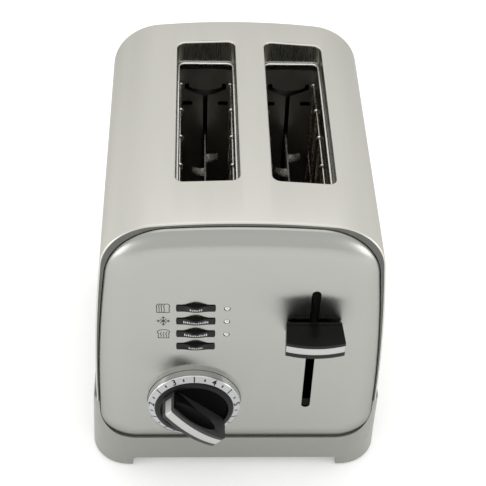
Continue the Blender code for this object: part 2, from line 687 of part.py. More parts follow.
def heaters(mica, ribbon, parts):
    """Mica cards, each carrying a ribbon wound up and down over its height."""
    near, far = FRONT_PLATE_Y + 4 * MM, REAR_PLATE_Y - 4 * MM
    low, high = MICA_LOW, MICA_HIGH
    for side, x in MICA_X.items():
        outline = [Vector(point) for point in ((near, low), (far, low), (far, high), (near, high))]
        flat("mica_card_" + side, [outline], 0.8 * MM, "X", (x, 0, 0), mica, parts)
        face = x + (-1.1 * MM if side == "right" else 1.1 * MM)
        path = []
        for i in range(RIBBON_RUNS):
            z = low + 12 * MM + i * RIBBON_PITCH
            ends = (near + 7 * MM, far - 7 * MM)
            path += [(face, y, z) for y in (ends if i % 2 == 0 else ends[::-1])]
        wire("heating_ribbon_" + side, path, 0.5 * MM, ribbon, parts, resolution=1)


# ---- lift mechanism -------------------------------------------------------------
def guide_rod(material, parts):
    rod("guide_rod", (ROD_X, ROD_Y, 24 * MM), (ROD_X, ROD_Y, 188.5 * MM), 2.0 * MM, material, parts, 16)


def lift_bracket(material, parts, cutters):
    """The carriage plate in front of the chamber, with its sleeve on the guide rod."""
    left, right = SLOT_X["left"] - 5 * MM, LEVER_X + 5 * MM
    outline = [Vector(point) for point in (
        (left, 123 * MM), (6 * MM, 123 * MM), (9 * MM, 112 * MM), (right - 4 * MM, 112 * MM),
        (right, 118 * MM), (right, 145 * MM), (left, 139 * MM))]
    plate = flat("lift_bracket", [outline], 1.5 * MM, "Y", (0, BRACKET_Y, 0), material, parts)
    sleeve = box("rod_sleeve", (ROD_X - 5 * MM, ROD_Y - 4.5 * MM, 114 * MM),
                 (ROD_X + 5 * MM, BRACKET_Y, 141 * MM), None, cutters)
    cut(plate, as_cutter(sleeve), "UNION")
    bore = rod("sleeve_bore", (ROD_X, ROD_Y, 105 * MM), (ROD_X, ROD_Y, 150 * MM), 2.4 * MM, None, cutters, 16)
    return cut(plate, as_cutter(bore))


def lever_arm(material, parts):
    outline = [Vector(point) for point in (
        (PANEL_FACE - 7 * MM, LEVER_Z - 3.2 * MM), (BRACKET_Y - 0.75 * MM - GAP, LEVER_Z - 6 * MM),
        (BRACKET_Y - 0.75 * MM - GAP, LEVER_Z + 4 * MM), (PANEL_FACE - 7 * MM, LEVER_Z + 3.2 * MM))]
    flat("lever_arm", [outline], 2.4 * MM, "X", (LEVER_X, 0, 0), material, parts)


def bowed_front(reach, setback=0.0, steps=8):
    """The knob's bowed front edge out to a given half width, moved back by setback."""
    front = KNOB_REAR - KNOB_DEPTH + setback
    sweep = KNOB_DEPTH - KNOB_END_DEPTH
    points = []
    for i in range(steps + 1):
        x = reach * (-1 + 2 * i / steps)
        points.append(Vector((x, front + sweep * (x / KNOB_HALF_WIDTH) ** 2)))
    return points


def lever_knob(material, trim, parts, cutters):
    """The paddle knob with a bowed front, and the bright strip let into it."""
    rear_half = KNOB_HALF_WIDTH - 0.3 * MM
    outline = [Vector((rear_half, KNOB_REAR)), Vector((-rear_half, KNOB_REAR))]
    outline += bowed_front(KNOB_HALF_WIDTH)
    knob = flat("lever_knob", [outline], KNOB_HEIGHT, "Z", (LEVER_X, 0, LEVER_Z), material, parts, True)
    bevel(knob, 1.0 * MM, 2)
    strip_z = LEVER_Z + 0.4 * MM
    strip_depth, strip_height = KNOB_STRIP_DEPTH, KNOB_STRIP_HEIGHT
    wide = KNOB_HALF_WIDTH + 1 * MM
    groove = flat("knob_groove", [bowed_front(wide, -2 * MM) + bowed_front(wide, strip_depth)[::-1]],
                  strip_height, "Z", (LEVER_X, 0, strip_z), None, cutters)
    cut(knob, as_cutter(groove))
    pocket = box("knob_pocket", (LEVER_X - 1.6 * MM, KNOB_REAR - 6.6 * MM, LEVER_Z - 4.2 * MM),
                 (LEVER_X + 1.6 * MM, KNOB_REAR + 2 * MM, LEVER_Z + 4.2 * MM), None, cutters)
    cut(knob, as_cutter(pocket))
    reach = KNOB_HALF_WIDTH - GAP
    strip = bowed_front(reach, 0.2 * MM) + bowed_front(reach, strip_depth - GAP)[::-1]
    flat("lever_knob_trim", [strip], strip_height - 2 * GAP, "Z", (LEVER_X, 0, strip_z),
         trim, parts, True)


def bread_rack(side, x, material, parts, cutters):
    """A blade through both end plates with bent tabs that carry the bread."""
    near, far = BRACKET_Y + 0.75 * MM + GAP, REAR_PLATE_Y + 4 * MM
    low = RACK_TOP_Z - 11 * MM
    outline = [Vector(point) for point in (
        (near, low), (far, low), (far, RACK_TOP_Z - 3 * MM), (far - 8 * MM, RACK_TOP_Z), (near, RACK_TOP_Z))]
    blade = flat("bread_rack_" + side, [outline], 1.2 * MM, "X", (x, 0, 0), material, parts)
    reach, lip, sheet = 8.6 * MM, 2.6 * MM, 1.0 * MM
    z = RACK_TOP_Z - 5 * MM
    for i in range(RACK_TABS):
        side_sign = 1 if i % 2 == 0 else -1
        section = [Vector((x + side_sign * u, z + v)) for u, v in (
            (0, 0), (0, -sheet), (reach - lip * 0.6, -sheet), (reach, 0), (reach, lip),
            (reach - sheet, lip), (reach - sheet * 1.4, sheet * 0.4), (reach - lip, 0))]
        y = RACK_TAB_START - i * RACK_TAB_PITCH
        tab = flat("rack_tab_" + side, [section], 8 * MM, "Y", (0, y, 0), None, cutters)
        cut(blade, as_cutter(tab), "UNION")
    return blade


def bread_guide(name, x, material, parts):
    """A wire frame hung from its upper rod, which turns in the two end plates."""
    wire_width, low = GUIDE_WIRE, GUIDE_LOW
    top = GUIDE_PIVOT_Z + wire_width / 2
    near, far = GUIDE_WIRE_END - 5 * GUIDE_PITCH - wire_width, GUIDE_WIRE_END
    ear_near, ear_far = FRONT_PLATE_Y - 1.5 * MM, REAR_PLATE_Y + 1.5 * MM
    outline = [Vector(point) for point in (
        (near, low), (far, low), (far, top - wire_width), (ear_far, top - wire_width), (ear_far, top),
        (ear_near, top), (ear_near, top - wire_width), (near, top - wire_width))]
    windows = []
    for i in range(5):
        left = near + wire_width + i * GUIDE_PITCH
        windows.append([Vector(point) for point in (
            (left, low + wire_width), (left + GUIDE_PITCH - wire_width, low + wire_width),
            (left + GUIDE_PITCH - wire_width, top - wire_width), (left, top - wire_width))])
    drop = Vector((0, 0, GUIDE_PIVOT_Z))
    shifted = [[point - Vector((0, GUIDE_PIVOT_Z)) for point in line] for line in [outline] + windows]
    return flat(name, shifted, 1.6 * MM, "X", Vector((x, 0, 0)) + drop, material, parts)


def magnet(iron, copper, parts):
    """The hold-down magnet under the carriage, and the plate that it holds."""
    x, y = MAGNET_X, MAGNET_Y
    profile = [(0, 46.0 * MM), (4.0 * MM, 46.0 * MM), (4.0 * MM, 31.0 * MM), (9.0 * MM, 31.0 * MM),
               (9.0 * MM, MAGNET_LOW), (0, MAGNET_LOW)]
    turned("electromagnet_core", profile, iron, parts, (x, y, 0.0), "UP", 20)
    coil = [(8.5 * MM, 44.5 * MM), (8.5 * MM, 31.4 * MM), (4.4 * MM, 31.4 * MM), (4.4 * MM, 44.5 * MM)]
    turned("electromagnet_coil", coil, copper, parts, (x, y, 0.0), "UP", 20)
    box("armature_plate", (x - 7 * MM, y - 6 * MM, 112.5 * MM),
        (x + 7 * MM, BRACKET_Y - 0.75 * MM - GAP, 115 * MM), iron, parts)


def lift_spring(material, parts):
    turns, per_turn, radius = 12, 8, 2.6 * MM
    path = []
    for i in range(turns * per_turn + 1):
        angle = 2 * math.pi * i / per_turn
        z = SPRING_LOW + (SPRING_TOP - SPRING_LOW) * i / (turns * per_turn)
        path.append((SPRING_X + radius * math.cos(angle), ROD_Y + radius * math.sin(angle), z))
    wire("lift_spring", path, 0.5 * MM, material, parts, resolution=0)


# ---- controls ------------------------------------------------------------------
def buttons(material, switch_material, parts):
    """Each key rides in the panel and presses a switch on the board."""
    for i, name in enumerate(BUTTON_NAMES):
        z = BUTTON_TOP_Z - i * BUTTON_PITCH
        half = BUTTON_WIDTH / 2
        back = BOARD_Y - 4.6 * MM - BUTTON_TRAVEL - GAP - PANEL_FACE
        outline = [Vector((half, back)), Vector((-half, back))]
        for step in range(9):
            across = -1 + step / 4
            nose = math.cos(math.pi / 2 * min(1.0, abs(across) / 0.75)) ** 2
            outline.append(Vector((half * across, -BUTTON_PROUD + BUTTON_BOW * (1 - nose))))
        key = flat(name, [outline], BUTTON_HEIGHT, "Z", (BUTTON_X, PANEL_FACE, z), material, parts, True)
        bevel(key, 0.9 * MM, 2)
        box("button_switch_%d" % (i + 1), (BUTTON_X - 3 * MM, BOARD_Y - 4.6 * MM, z - 3 * MM),
            (BUTTON_X + 3 * MM, BOARD_Y - 0.8 * MM - GAP, z + 3 * MM), switch_material, parts)


def lamps(material, parts):
    for i in range(3):
        z = LAMP_TOP_Z - i * BUTTON_PITCH
        profile = [(0, 1.0 * MM), (0.9 * MM, 0.8 * MM), (1.5 * MM, 0.35 * MM), (LAMP_RADIUS, -0.3 * MM),
                   (LAMP_RADIUS, -14.5 * MM), (0, -14.5 * MM)]
        turned("indicator_lens_%d" % (i + 1), profile, material, parts, (LAMP_X, PANEL_FACE, z), "FRONT", 16)


def dial_surround(chrome, scale, parts):
    place = (DIAL_X, PANEL_FACE, DIAL_Z)
    bezel = [(BEZEL_RADIUS - 0.2 * MM, BEZEL_LIP), (BEZEL_RADIUS, BEZEL_LIP - 0.5 * MM),
             (BEZEL_RADIUS, -4 * MM), (4.6 * MM, -4 * MM), (4.6 * MM, BEZEL_SEAT),
             (BEZEL_RADIUS - 1.0 * MM, BEZEL_SEAT), (BEZEL_RADIUS - 0.8 * MM, BEZEL_LIP)]
    turned("dial_bezel", bezel, chrome, parts, place, "FRONT", 36)
    ring_low = BEZEL_SEAT + GAP
    ring = [(BEZEL_RADIUS - 1.3 * MM, SCALE_OUTER), (BEZEL_RADIUS - 1.3 * MM, ring_low),
            (DIAL_RADIUS + 0.4 * MM, ring_low), (DIAL_RADIUS + 0.4 * MM, SCALE_INNER)]
    turned("dial_scale_ring", ring, scale, parts, place, "FRONT", 36)


def dial_knob(black, trim, steel, parts, cutters):
    """A thin disc carrying a straight grip, with a bright strip round the grip's edge."""
    place = (DIAL_X, PANEL_FACE, DIAL_Z)
    back = BEZEL_SEAT + GAP
    disc = [(0, DISC_FACE), (DIAL_RADIUS - 0.8 * MM, DISC_FACE), (DIAL_RADIUS, DISC_FACE - 0.8 * MM),
            (DIAL_RADIUS, back), (0, back)]
    knob = turned("dial_knob", disc, black, parts, place, "FRONT", 36)
    half = GRIP_LENGTH / 2
    front, middle = GRIP_FACE, GRIP_MIDDLE

    def grip_outline(shrink, depth_low):
        line = [Vector((half - shrink, depth_low)), Vector((half - shrink, front - shrink - 2 * MM)),
                Vector((half - shrink - 2 * MM, front - shrink))]
        for i in range(1, 8):
            u = 1 - 2 * i / 8
            line.append(Vector(((half - 2 * MM) * u, front + (middle - front) * (1 - u * u) - shrink)))
        line += [Vector((2 * MM + shrink - half, front - shrink)),
                 Vector((shrink - half, front - shrink - 2 * MM)), Vector((shrink - half, depth_low))]
        return line

    grip = flat("dial_grip", [grip_outline(0.0, back + 0.5 * MM)], GRIP_THICKNESS, "Y",
                (0, 0, 0), None, cutters)
    # outlines run along the grip and outwards from the dial's face
    tilt = Matrix.Rotation(DIAL_REST_TILT, 4, "Y") @ Matrix.Rotation(math.pi, 4, "X")
    pose = Matrix.Translation(place) @ tilt
    seat_in_plane(grip, pose)
    bevel(as_cutter(grip), 0.8 * MM, 2)
    cut(knob, grip, "UNION")
    strip_cut = grip_outline(-2.0 * MM, DISC_FACE + 3.0 * MM)[1:-1]
    inner = grip_outline(1.2 * MM, DISC_FACE + 3.0 * MM)[1:-1]
    ends = [Vector((half + 3 * MM, front - 4 * MM)), Vector((half - 1.2 * MM, front - 4 * MM))]
    tail = [Vector((1.2 * MM - half, DISC_FACE + 3 * MM)), Vector((-half - 3 * MM, DISC_FACE + 3 * MM))]
    groove = flat("grip_groove", [strip_cut + [tail[1]] + [tail[0]] + inner[::-1] + [ends[1], ends[0]]],
                  GRIP_STRIP, "Y", (0, 0, 0), None, cutters)
    seat_in_plane(groove, pose)
    cut(knob, as_cutter(groove))
    outer = grip_outline(0.15 * MM, 0.0)[1:-1]
    inner = grip_outline(1.2 * MM - GAP, 0.0)[1:-1]
    low = DISC_FACE + 3.0 * MM + GAP
    strip = outer + [Vector((0.15 * MM - half, low)), Vector((1.2 * MM - GAP - half, low))] + inner[::-1]
    trim_piece = flat("dial_knob_trim", [strip], GRIP_STRIP - 2 * GAP, "Y", (0, 0, 0), trim, parts, True)
    seat_in_plane(trim_piece, pose)
    shaft = [(0, back - 2 * GAP), (3.0 * MM, back - 2 * GAP), (3.0 * MM, -10.0 * MM), (0, -10.0 * MM)]
    turned("dial_shaft", shaft, steel, parts, place, "FRONT", 20)


def seat_in_plane(item, pose):
    """Lay a piece drawn as (length, outwards) on the dial's face, turned with the grip."""
    item.rotation_mode = "QUATERNION"
    item.location = pose.translation
    item.rotation_quaternion = pose.to_quaternion()


def control_board(board, potentiometer, parts):
    outline = [Vector(point) for point in (
        (-62 * MM, 50 * MM), (-2 * MM, 50 * MM), (-2 * MM, 164 * MM), (-62 * MM, 164 * MM))]
    flat("control_board", [outline], 1.6 * MM, "Y", (0, BOARD_Y, 0), board, parts)
    low = PANEL_FACE + 10.6 * MM
    rod("browning_potentiometer", (DIAL_X, low, DIAL_Z), (DIAL_X, BOARD_Y - 0.8 * MM - GAP, DIAL_Z),
        8.5 * MM, potentiometer, parts, 24)


def cord_gland(material, parts):
    """The bushing that the supply cord comes out of."""
    profile = [(5.6 * MM, 2.4 * MM), (8.2 * MM, 1.8 * MM), (8.6 * MM, GAP),
               (GLAND_RADIUS, GAP), (GLAND_RADIUS, -9 * MM), (3.6 * MM, -9 * MM), (3.6 * MM, 2.4 * MM)]
    turned("cord_gland", profile, material, parts, (CORD_X, REAR + REAR_BULGE, CORD_Z), "REAR", 24)


def crumb_tray(material, parts, cutters):
    """The drawer under the chamber, pulled out at the rear by its folded lip."""
    near, far = FRONT + 14 * MM, REAR + 5.0 * MM
    tray = box("crumb_tray", (-TRAY_HALF_WIDTH, near, TRAY_Z), (TRAY_HALF_WIDTH, far, TRAY_Z + 8 * MM),
               material, parts)
    hollow = box("tray_hollow", (1 * MM - TRAY_HALF_WIDTH, near + 1 * MM, TRAY_Z + 1 * MM),
                 (TRAY_HALF_WIDTH - 1 * MM, REAR + 2.6 * MM, TRAY_Z + 20 * MM), None, cutters)
    cut(tray, as_cutter(hollow))
    handle = box("tray_handle", (-TRAY_HALF_WIDTH - 3 * MM, REAR + 3.7 * MM, TRAY_Z - 2 * MM),
                 (TRAY_HALF_WIDTH + 3 * MM, REAR + REAR_REACH, TRAY_Z + 10 * MM), None, cutters)
    bevel(as_cutter(handle), 1.0 * MM, 2)
    cut(tray, handle, "UNION")
    undercut = box("handle_undercut", (-TRAY_HALF_WIDTH - 5 * MM, REAR + 5.2 * MM, TRAY_Z - 4 * MM),
                   (TRAY_HALF_WIDTH + 5 * MM, REAR + 30 * MM, TRAY_Z + 5.5 * MM), None, cutters)
    return cut(tray, as_cutter(undercut))


def main():
    clear_scene()
    parts = new_collection("pop_up_toaster")
    cutters = new_collection("cutters")
    looks = {name: look(name, *values) for name, values in LOOKS.items()}
    outer_shell(looks["brushed_steel"], parts, cutters)
    front_panel(looks["satin_steel"], parts, cutters)
    rear_panel(looks["satin_steel"], parts, cutters)
    base(looks["painted_base"], parts, cutters)
    foot_pads(looks["rubber"], parts)
    bottom_plate(looks["plated_steel"], looks["magnet_iron"], parts, cutters)
    front_end_plate(looks["plated_steel"], parts, cutters)
    end_plate("rear_end_plate", REAR_PLATE_Y, looks["plated_steel"], parts)
    chassis_top(looks["plated_steel"], parts)
    chamber_sides(looks["plated_steel"], parts)
    heaters(looks["mica"], looks["nichrome"], parts)
    guide_rod(looks["plated_steel"], parts)
    lift_bracket(looks["plated_steel"], parts, cutters)
    lever_arm(looks["plated_steel"], parts)
    lever_knob(looks["black_plastic"], looks["silver_trim"], parts, cutters)
    for side, x in SLOT_X.items():
        bread_rack(side, x, looks["plated_steel"], parts, cutters)
        for name, sign in (("outer", 1 if side == "right" else -1), ("inner", -1 if side == "right" else 1)):
            bread_guide("bread_guide_%s_%s" % (side, name), x + sign * GUIDE_OFFSET,
                        looks["plated_steel"], parts)
    magnet(looks["magnet_iron"], looks["copper_winding"], parts)
    lift_spring(looks["plated_steel"], parts)
    buttons(looks["black_plastic"], looks["black_plastic"], parts)
    lamps(looks["clear_lens"], parts)
    dial_surround(looks["chrome"], looks["white_scale"], parts)
    dial_knob(looks["black_plastic"], looks["silver_trim"], looks["plated_steel"], parts, cutters)
    control_board(looks["green_board"], looks["black_plastic"], parts)
    cord_gland(looks["black_plastic"], parts)
    crumb_tray(looks["plated_steel"], parts, cutters)


main()
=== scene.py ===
"""Two-slot pop-up toaster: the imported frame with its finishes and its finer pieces."""
import math

import bmesh
import bpy
from mathutils import Matrix, Vector


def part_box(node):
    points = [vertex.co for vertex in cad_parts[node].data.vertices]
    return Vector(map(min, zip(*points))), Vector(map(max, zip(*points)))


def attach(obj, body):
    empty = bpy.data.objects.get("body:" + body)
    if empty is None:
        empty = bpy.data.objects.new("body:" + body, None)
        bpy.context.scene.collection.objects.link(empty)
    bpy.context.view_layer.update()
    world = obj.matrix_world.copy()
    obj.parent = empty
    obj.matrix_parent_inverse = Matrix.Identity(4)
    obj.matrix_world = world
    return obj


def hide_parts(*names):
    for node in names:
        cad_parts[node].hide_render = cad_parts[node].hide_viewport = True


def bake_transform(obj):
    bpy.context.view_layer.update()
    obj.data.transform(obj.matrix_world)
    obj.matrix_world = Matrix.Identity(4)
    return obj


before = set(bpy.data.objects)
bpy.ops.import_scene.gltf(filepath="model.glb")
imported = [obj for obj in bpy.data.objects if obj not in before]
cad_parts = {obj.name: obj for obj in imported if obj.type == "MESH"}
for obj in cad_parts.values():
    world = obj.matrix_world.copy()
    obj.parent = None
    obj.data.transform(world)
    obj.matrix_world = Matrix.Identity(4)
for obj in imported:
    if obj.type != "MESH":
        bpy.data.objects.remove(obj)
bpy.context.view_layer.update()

MM = 0.001


# ---- places, read from the frame ----
def low(node):
    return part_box(node)[0]


def high(node):
    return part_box(node)[1]


def middle(node):
    return (low(node) + high(node)) / 2


FRONT = low("outer_shell").y
REAR = high("outer_shell").y
BODY_TOP = high("outer_shell").z
BODY_HALF = high("outer_shell").x
SHELL_FOOT = low("outer_shell").z
PANEL_FACE = low("front_panel").y
REAR_FACE = high("rear_panel").y
PANEL_TOP = high("front_panel").z
PANEL_HALF = high("front_panel").x
PANEL_FOOT = low("front_panel").z
BASE_TOP = high("base").z
BASE_HALF = high("base").x
BASE_AHEAD = FRONT - low("base").y
SLOT_X = {"left": middle("bread_rack_left").x, "right": middle("bread_rack_right").x}
SLOT_Y = middle("chassis_top_plate").y
SLOT_HALF_WIDTH = 18.25 * MM
SLOT_HALF_LENGTH = 66.75 * MM
SLOT_CORNER = 5.0 * MM
SLOT_LIP = 1.0 * MM                 # radius of the slots' upper edge
COLLAR_DEPTH = 17.0 * MM
BEAD = 0.9 * MM                     # rolled lower edge of the slots' walls
SHELL_SHEET = 0.9 * MM
PANEL_SHEET = 1.2 * MM
BASE_WALL = 3.0 * MM
PANEL_GAP = 0.35 * MM
PANEL_MARGIN = 17.0 * MM            # width of the panels' curved margin
LEVER_SLOT_WIDTH = 5.3 * MM
LEVER_SLOT_ENDS = (65.6 * MM, 168.4 * MM)
PRINT_LIFT = 0.02 * MM              # a printed mark stands this far off its surface
WELD = 0.005 * MM
LEVER = middle("lever_knob")
DIAL = middle("dial_bezel")
BEZEL_RADIUS = high("dial_bezel").x - DIAL.x
KEYS = {"button_max": "key_max", "button_defrost": "key_defrost",
        "button_reheat": "key_reheat", "button_stop": "key_stop"}
CORNERS = ("front_left", "front_right", "rear_left", "rear_right")
GUIDES = {"bread_guide_%s_%s" % (side, place): "guide_%s_%s" % (side, place)
          for side in ("left", "right") for place in ("outer", "inner")}


# ---- finishes ----
class Finish:
    """A procedural material: a shader, a grain in object space, and what it drives."""

    def __init__(self, name, colour, roughness, metallic=0.0, specular=0.5):
        self.material = bpy.data.materials.new(name)
        self.material.use_nodes = True
        tree = self.material.node_tree
        self.node, self.link = tree.nodes.new, tree.links.new
        self.shader = tree.nodes["Principled BSDF"]
        self.shader.inputs["Base Color"].default_value = (*colour, 1.0)
        self.shader.inputs["Roughness"].default_value = roughness
        self.shader.inputs["Metallic"].default_value = metallic
        self.shader.inputs["Specular IOR Level"].default_value = specular
        self.colour, self.roughness = colour, roughness

    def noise(self, scale, stretch=(1, 1, 1), detail=3.0):
        place = self.node("ShaderNodeTexCoord")
        mapping = self.node("ShaderNodeMapping")
        mapping.inputs["Scale"].default_value = stretch
        grain = self.node("ShaderNodeTexNoise")
        grain.inputs["Scale"].default_value = scale
        grain.inputs["Detail"].default_value = detail
        self.link(place.outputs["Object"], mapping.inputs["Vector"])
        self.link(mapping.outputs["Vector"], grain.inputs["Vector"])
        return grain.outputs["Fac"]

    def spread(self, source, lowest, highest):
        """The source's usual range, 0.3 to 0.7, mapped to two values."""
        ranged = self.node("ShaderNodeMapRange")
        ranged.inputs["From Min"].default_value = 0.3
        ranged.inputs["From Max"].default_value = 0.7
        ranged.inputs["To Min"].default_value = lowest
        ranged.inputs["To Max"].default_value = highest
        self.link(source, ranged.inputs["Value"])
        return ranged.outputs["Result"]

    def vary_roughness(self, source, amount):
        value = self.spread(source, self.roughness - amount, self.roughness + amount)
        self.link(value, self.shader.inputs["Roughness"])
        return self

    def vary_colour(self, source, other):
        mix = self.node("ShaderNodeMix")
        mix.data_type = "RGBA"
        mix.inputs["A"].default_value = (*self.colour, 1.0)
        mix.inputs["B"].default_value = (*other, 1.0)
        self.link(self.spread(source, 0.0, 1.0), mix.inputs["Factor"])
        self.link(mix.outputs["Result"], self.shader.inputs["Base Color"])
        return self

    def relief(self, source, depth, strength=1.0):
        bump = self.node("ShaderNodeBump")
        bump.inputs["Strength"].default_value = strength
        bump.inputs["Distance"].default_value = depth
        self.link(source, bump.inputs["Height"])
        self.link(bump.outputs["Normal"], self.shader.inputs["Normal"])
        return self

    def along_grain(self, amount):
        """Highlights drawn out across the grain, which the UV map's u direction gives."""
        tangent = self.node("ShaderNodeTangent")
        tangent.direction_type = "UV_MAP"
        self.link(tangent.outputs["Tangent"], self.shader.inputs["Tangent"])
        self.shader.inputs["Anisotropic"].default_value = amount
        return self


def darker(colour, share):
    return tuple(value * share for value in colour)


GRAZING_SHADE_TINT = (0.52, 0.52, 0.51)   # painted shade: this dark tint dims the metal's reflections at a grazing view, darkening the body's sides


def brushed(name, colour, roughness, grain, anisotropy=0.6, strength=1.0):
    """Brushed or satin metal, with its grain along one axis."""
    finish = Finish(name, colour, roughness, 1.0)
    fine = finish.noise(1.0, tuple(30.0 if axis in grain else 2600.0 for axis in "xyz"), 2.0)
    broad = finish.noise(1.0, tuple(4.0 if axis in grain else 60.0 for axis in "xyz"), 2.0)
    finish.vary_roughness(fine, 0.05 * strength)
    finish.vary_colour(broad, darker(colour, 1.0 - 0.04 * strength))
    finish.relief(fine, 0.004 * MM * strength, 0.5)
    # painted shade: the reflections at a grazing view are tinted dark
    finish.shader.inputs["Specular Tint"].default_value = (*GRAZING_SHADE_TINT, 1.0)
    if anisotropy:
        finish.along_grain(anisotropy)
    return finish.material


def plated(name, colour, roughness, scale=90.0):
    """Zinc or nickel plate with a soft mottled bloom."""
    finish = Finish(name, colour, roughness, 1.0)
    bloom = finish.noise(scale, (1, 1, 1), 5.0)
    finish.vary_colour(bloom, darker(colour, 0.82))
    finish.vary_roughness(finish.noise(scale * 3), 0.07)
    finish.relief(finish.noise(scale * 22), 0.01 * MM, 0.3)
    return finish.material


def moulded(name, colour, roughness, specular=0.5, grain=2200.0, depth=0.010):
    """Moulded plastic or rubber with a fine spark-eroded grain."""
    finish = Finish(name, colour, roughness, 0.0, specular)
    finish.vary_colour(finish.noise(70.0), darker(colour, 0.85))
    finish.vary_roughness(finish.noise(160.0), 0.04)
    finish.relief(finish.noise(grain, (1, 1, 1), 2.0), depth * MM, 0.4)
    return finish.material


def painted(name, colour, roughness, metallic):
    """Metallic paint: a fleck in the colour and a faint orange peel."""
    finish = Finish(name, colour, roughness, metallic)
    finish.vary_colour(finish.noise(2400.0, (1, 1, 1), 1.0), darker(colour, 0.90))
    finish.vary_roughness(finish.noise(120.0), 0.03)
    finish.relief(finish.noise(900.0, (1, 1, 1), 1.0), 0.006 * MM, 0.35)
    return finish.material


LOOKS = {
    "brushed_steel": brushed("shell_brushed_steel", (0.66, 0.65, 0.60), 0.36, "y"),
    "satin_steel": brushed("panel_satin_steel", (0.405, 0.41, 0.385), 0.25, "x", 0.9, 0.2),
    # painted shade: a darker steel for the rims' forward and rearward faces, standing in for the shade and
    # dark reflections on them
    "rim_painted_shade": plated("rim_painted_shade_steel", (0.15, 0.15, 0.14), 0.45, 60.0),
    "collar_steel": brushed("slot_collar_steel", (0.58, 0.58, 0.54), 0.27, "z", 0.0, 0.3),
    "chrome": plated("bezel_chrome", (0.74, 0.74, 0.73), 0.14, 40.0),
    "plated_steel": plated("zinc_plated_steel", (0.48, 0.48, 0.44), 0.42),
    "tray_steel": plated("tray_dark_steel", (0.14, 0.14, 0.135), 0.42),
    "dark_steel": plated("inner_dark_steel", (0.06, 0.06, 0.055), 0.45),
    "wire_steel": plated("nickel_plated_wire", (0.88, 0.88, 0.85), 0.25, 200.0),
    "painted_base": painted("base_metallic_paint", (0.32, 0.32, 0.295), 0.40, 0.75),
    "black_plastic": moulded("black_gloss_plastic", (0.006, 0.006, 0.006), 0.30, 0.20),
    "grip_black": moulded("black_grip_sides", (0.020, 0.020, 0.020), 0.45, 0.45),
    # painted shade: a near-black for the lever slot's walls, the lamps' lower crescents and the knob's
    # scoops and sunk middle, where shade falls
    "painted_shade_black": moulded("painted_shade_black_matt", (0.002, 0.002, 0.002), 0.50, 0.08),
    "silver_trim": painted("silver_trim", (0.50, 0.50, 0.49), 0.34, 0.55),
    "white_scale": painted("scale_silver_white", (0.47, 0.48, 0.48), 0.36, 0.35),
    "clear_lens": plated("lamp_mirror_dome", (0.66, 0.66, 0.65), 0.16, 300.0),
    "rubber": moulded("foot_rubber", (0.030, 0.030, 0.030), 0.75, 0.4, 900.0, 0.03),
    "mica": moulded("mica_sheet", (0.40, 0.33, 0.22), 0.50, 0.5, 300.0, 0.05),
    "nichrome": plated("oxidised_ribbon", (0.20, 0.18, 0.16), 0.45, 400.0),
    "green_board": moulded("green_board", (0.01, 0.06, 0.025), 0.45, 0.5, 500.0, 0.02),
    "magnet_iron": plated("magnet_iron", (0.22, 0.22, 0.23), 0.42, 120.0),
    "copper_winding": plated("copper_winding", (0.50, 0.20, 0.08), 0.38, 500.0),
    "printed_grey": moulded("printed_grey", (0.035, 0.035, 0.033), 0.60, 0.3),
    "printed_black": moulded("printed_black", (0.008, 0.008, 0.009), 0.55, 0.2),
    "printed_white": moulded("printed_light", (0.62, 0.63, 0.62), 0.50, 0.3),
}


# ---- shape helpers ----
def linked(name, data):
    """A new object in the scene."""
    item = bpy.data.objects.new(name, data)
    bpy.context.scene.collection.objects.link(item)
    return item


def evaluated(item):
    """The mesh that an object's curve or modifiers give."""
    graph = bpy.context.evaluated_depsgraph_get()
    return bpy.data.meshes.new_from_object(item.evaluated_get(graph))


def add_object(name, mesh, look):
    item = linked(name, mesh)
    mesh.materials.clear()
    if look is not None:
        mesh.materials.append(LOOKS[look])
    return item


def skin(name, rows, look=None, closed=False, first=False, last=False):
    """A surface through rows of equally many points, with its end rows closed if asked."""
    form = bmesh.new()
    rings = [[form.verts.new(point) for point in row] for row in rows]
    count = len(rows[0])
    for lower, upper in zip(rings, rings[1:]):
        for i in range(count if closed else count - 1):
            j = (i + 1) % count
            form.faces.new((lower[i], lower[j], upper[j], upper[i]))
    if first:
        form.faces.new(rings[0][::-1])
    if last:
        form.faces.new(rings[-1])
    bmesh.ops.recalc_face_normals(form, faces=form.faces)
    mesh = bpy.data.meshes.new(name)
    form.to_mesh(mesh)
    form.free()
    return add_object(name, mesh, look)


def slab(name, outlines, thickness, pose, look=None):
    """Flat outlines of given thickness, whose plane and place come from a matrix."""
    curve = bpy.data.curves.new(name, "CURVE")
    curve.dimensions = "2D"
    curve.fill_mode = "BOTH"
    curve.extrude = thickness / 2
    for outline in outlines:
        spline = curve.splines.new("POLY")
        spline.points.add(len(outline) - 1)
        for point, (u, v) in zip(spline.points, outline):
            point.co = (u, v, 0.0, 1.0)
        spline.use_cyclic_u = True
    return from_curve(name, curve, pose, look)


def from_curve(name, curve, pose, look):
    """A curve's mesh, welded and moved to its pose."""
    holder = linked(name, curve)
    mesh = evaluated(holder)
    weld(mesh)
    mesh.transform(pose)
    bpy.data.objects.remove(holder)
    return add_object(name, mesh, look)


def tube(name, points, radius, look, resolution=4):
    """A round wire along a path."""
    curve = bpy.data.curves.new(name, "CURVE")
    curve.dimensions = "3D"
    curve.bevel_depth = radius
    curve.bevel_resolution = resolution
    curve.use_fill_caps = True
    spline = curve.splines.new("POLY")
    spline.points.add(len(points) - 1)
    for point, place in zip(spline.points, points):
        point.co = (*place, 1.0)
    return settle(from_curve(name, curve, Matrix.Identity(4), look), 50)


def turned(name, profile, pose, look, sides=96, closed=True):
    """A (radius, height) profile turned about the pose's Z."""
    rows = []
    for radius, height in profile:
        radius = max(radius, 0.02 * MM)
        rows.append([pose @ Vector((radius * math.cos(2 * math.pi * i / sides),
                                    radius * math.sin(2 * math.pi * i / sides), height))
                     for i in range(sides)])
    if closed:
        rows.append(rows[0])
    item = skin(name, rows, look, closed=True, first=not closed, last=not closed)
    weld(item.data)
    return item


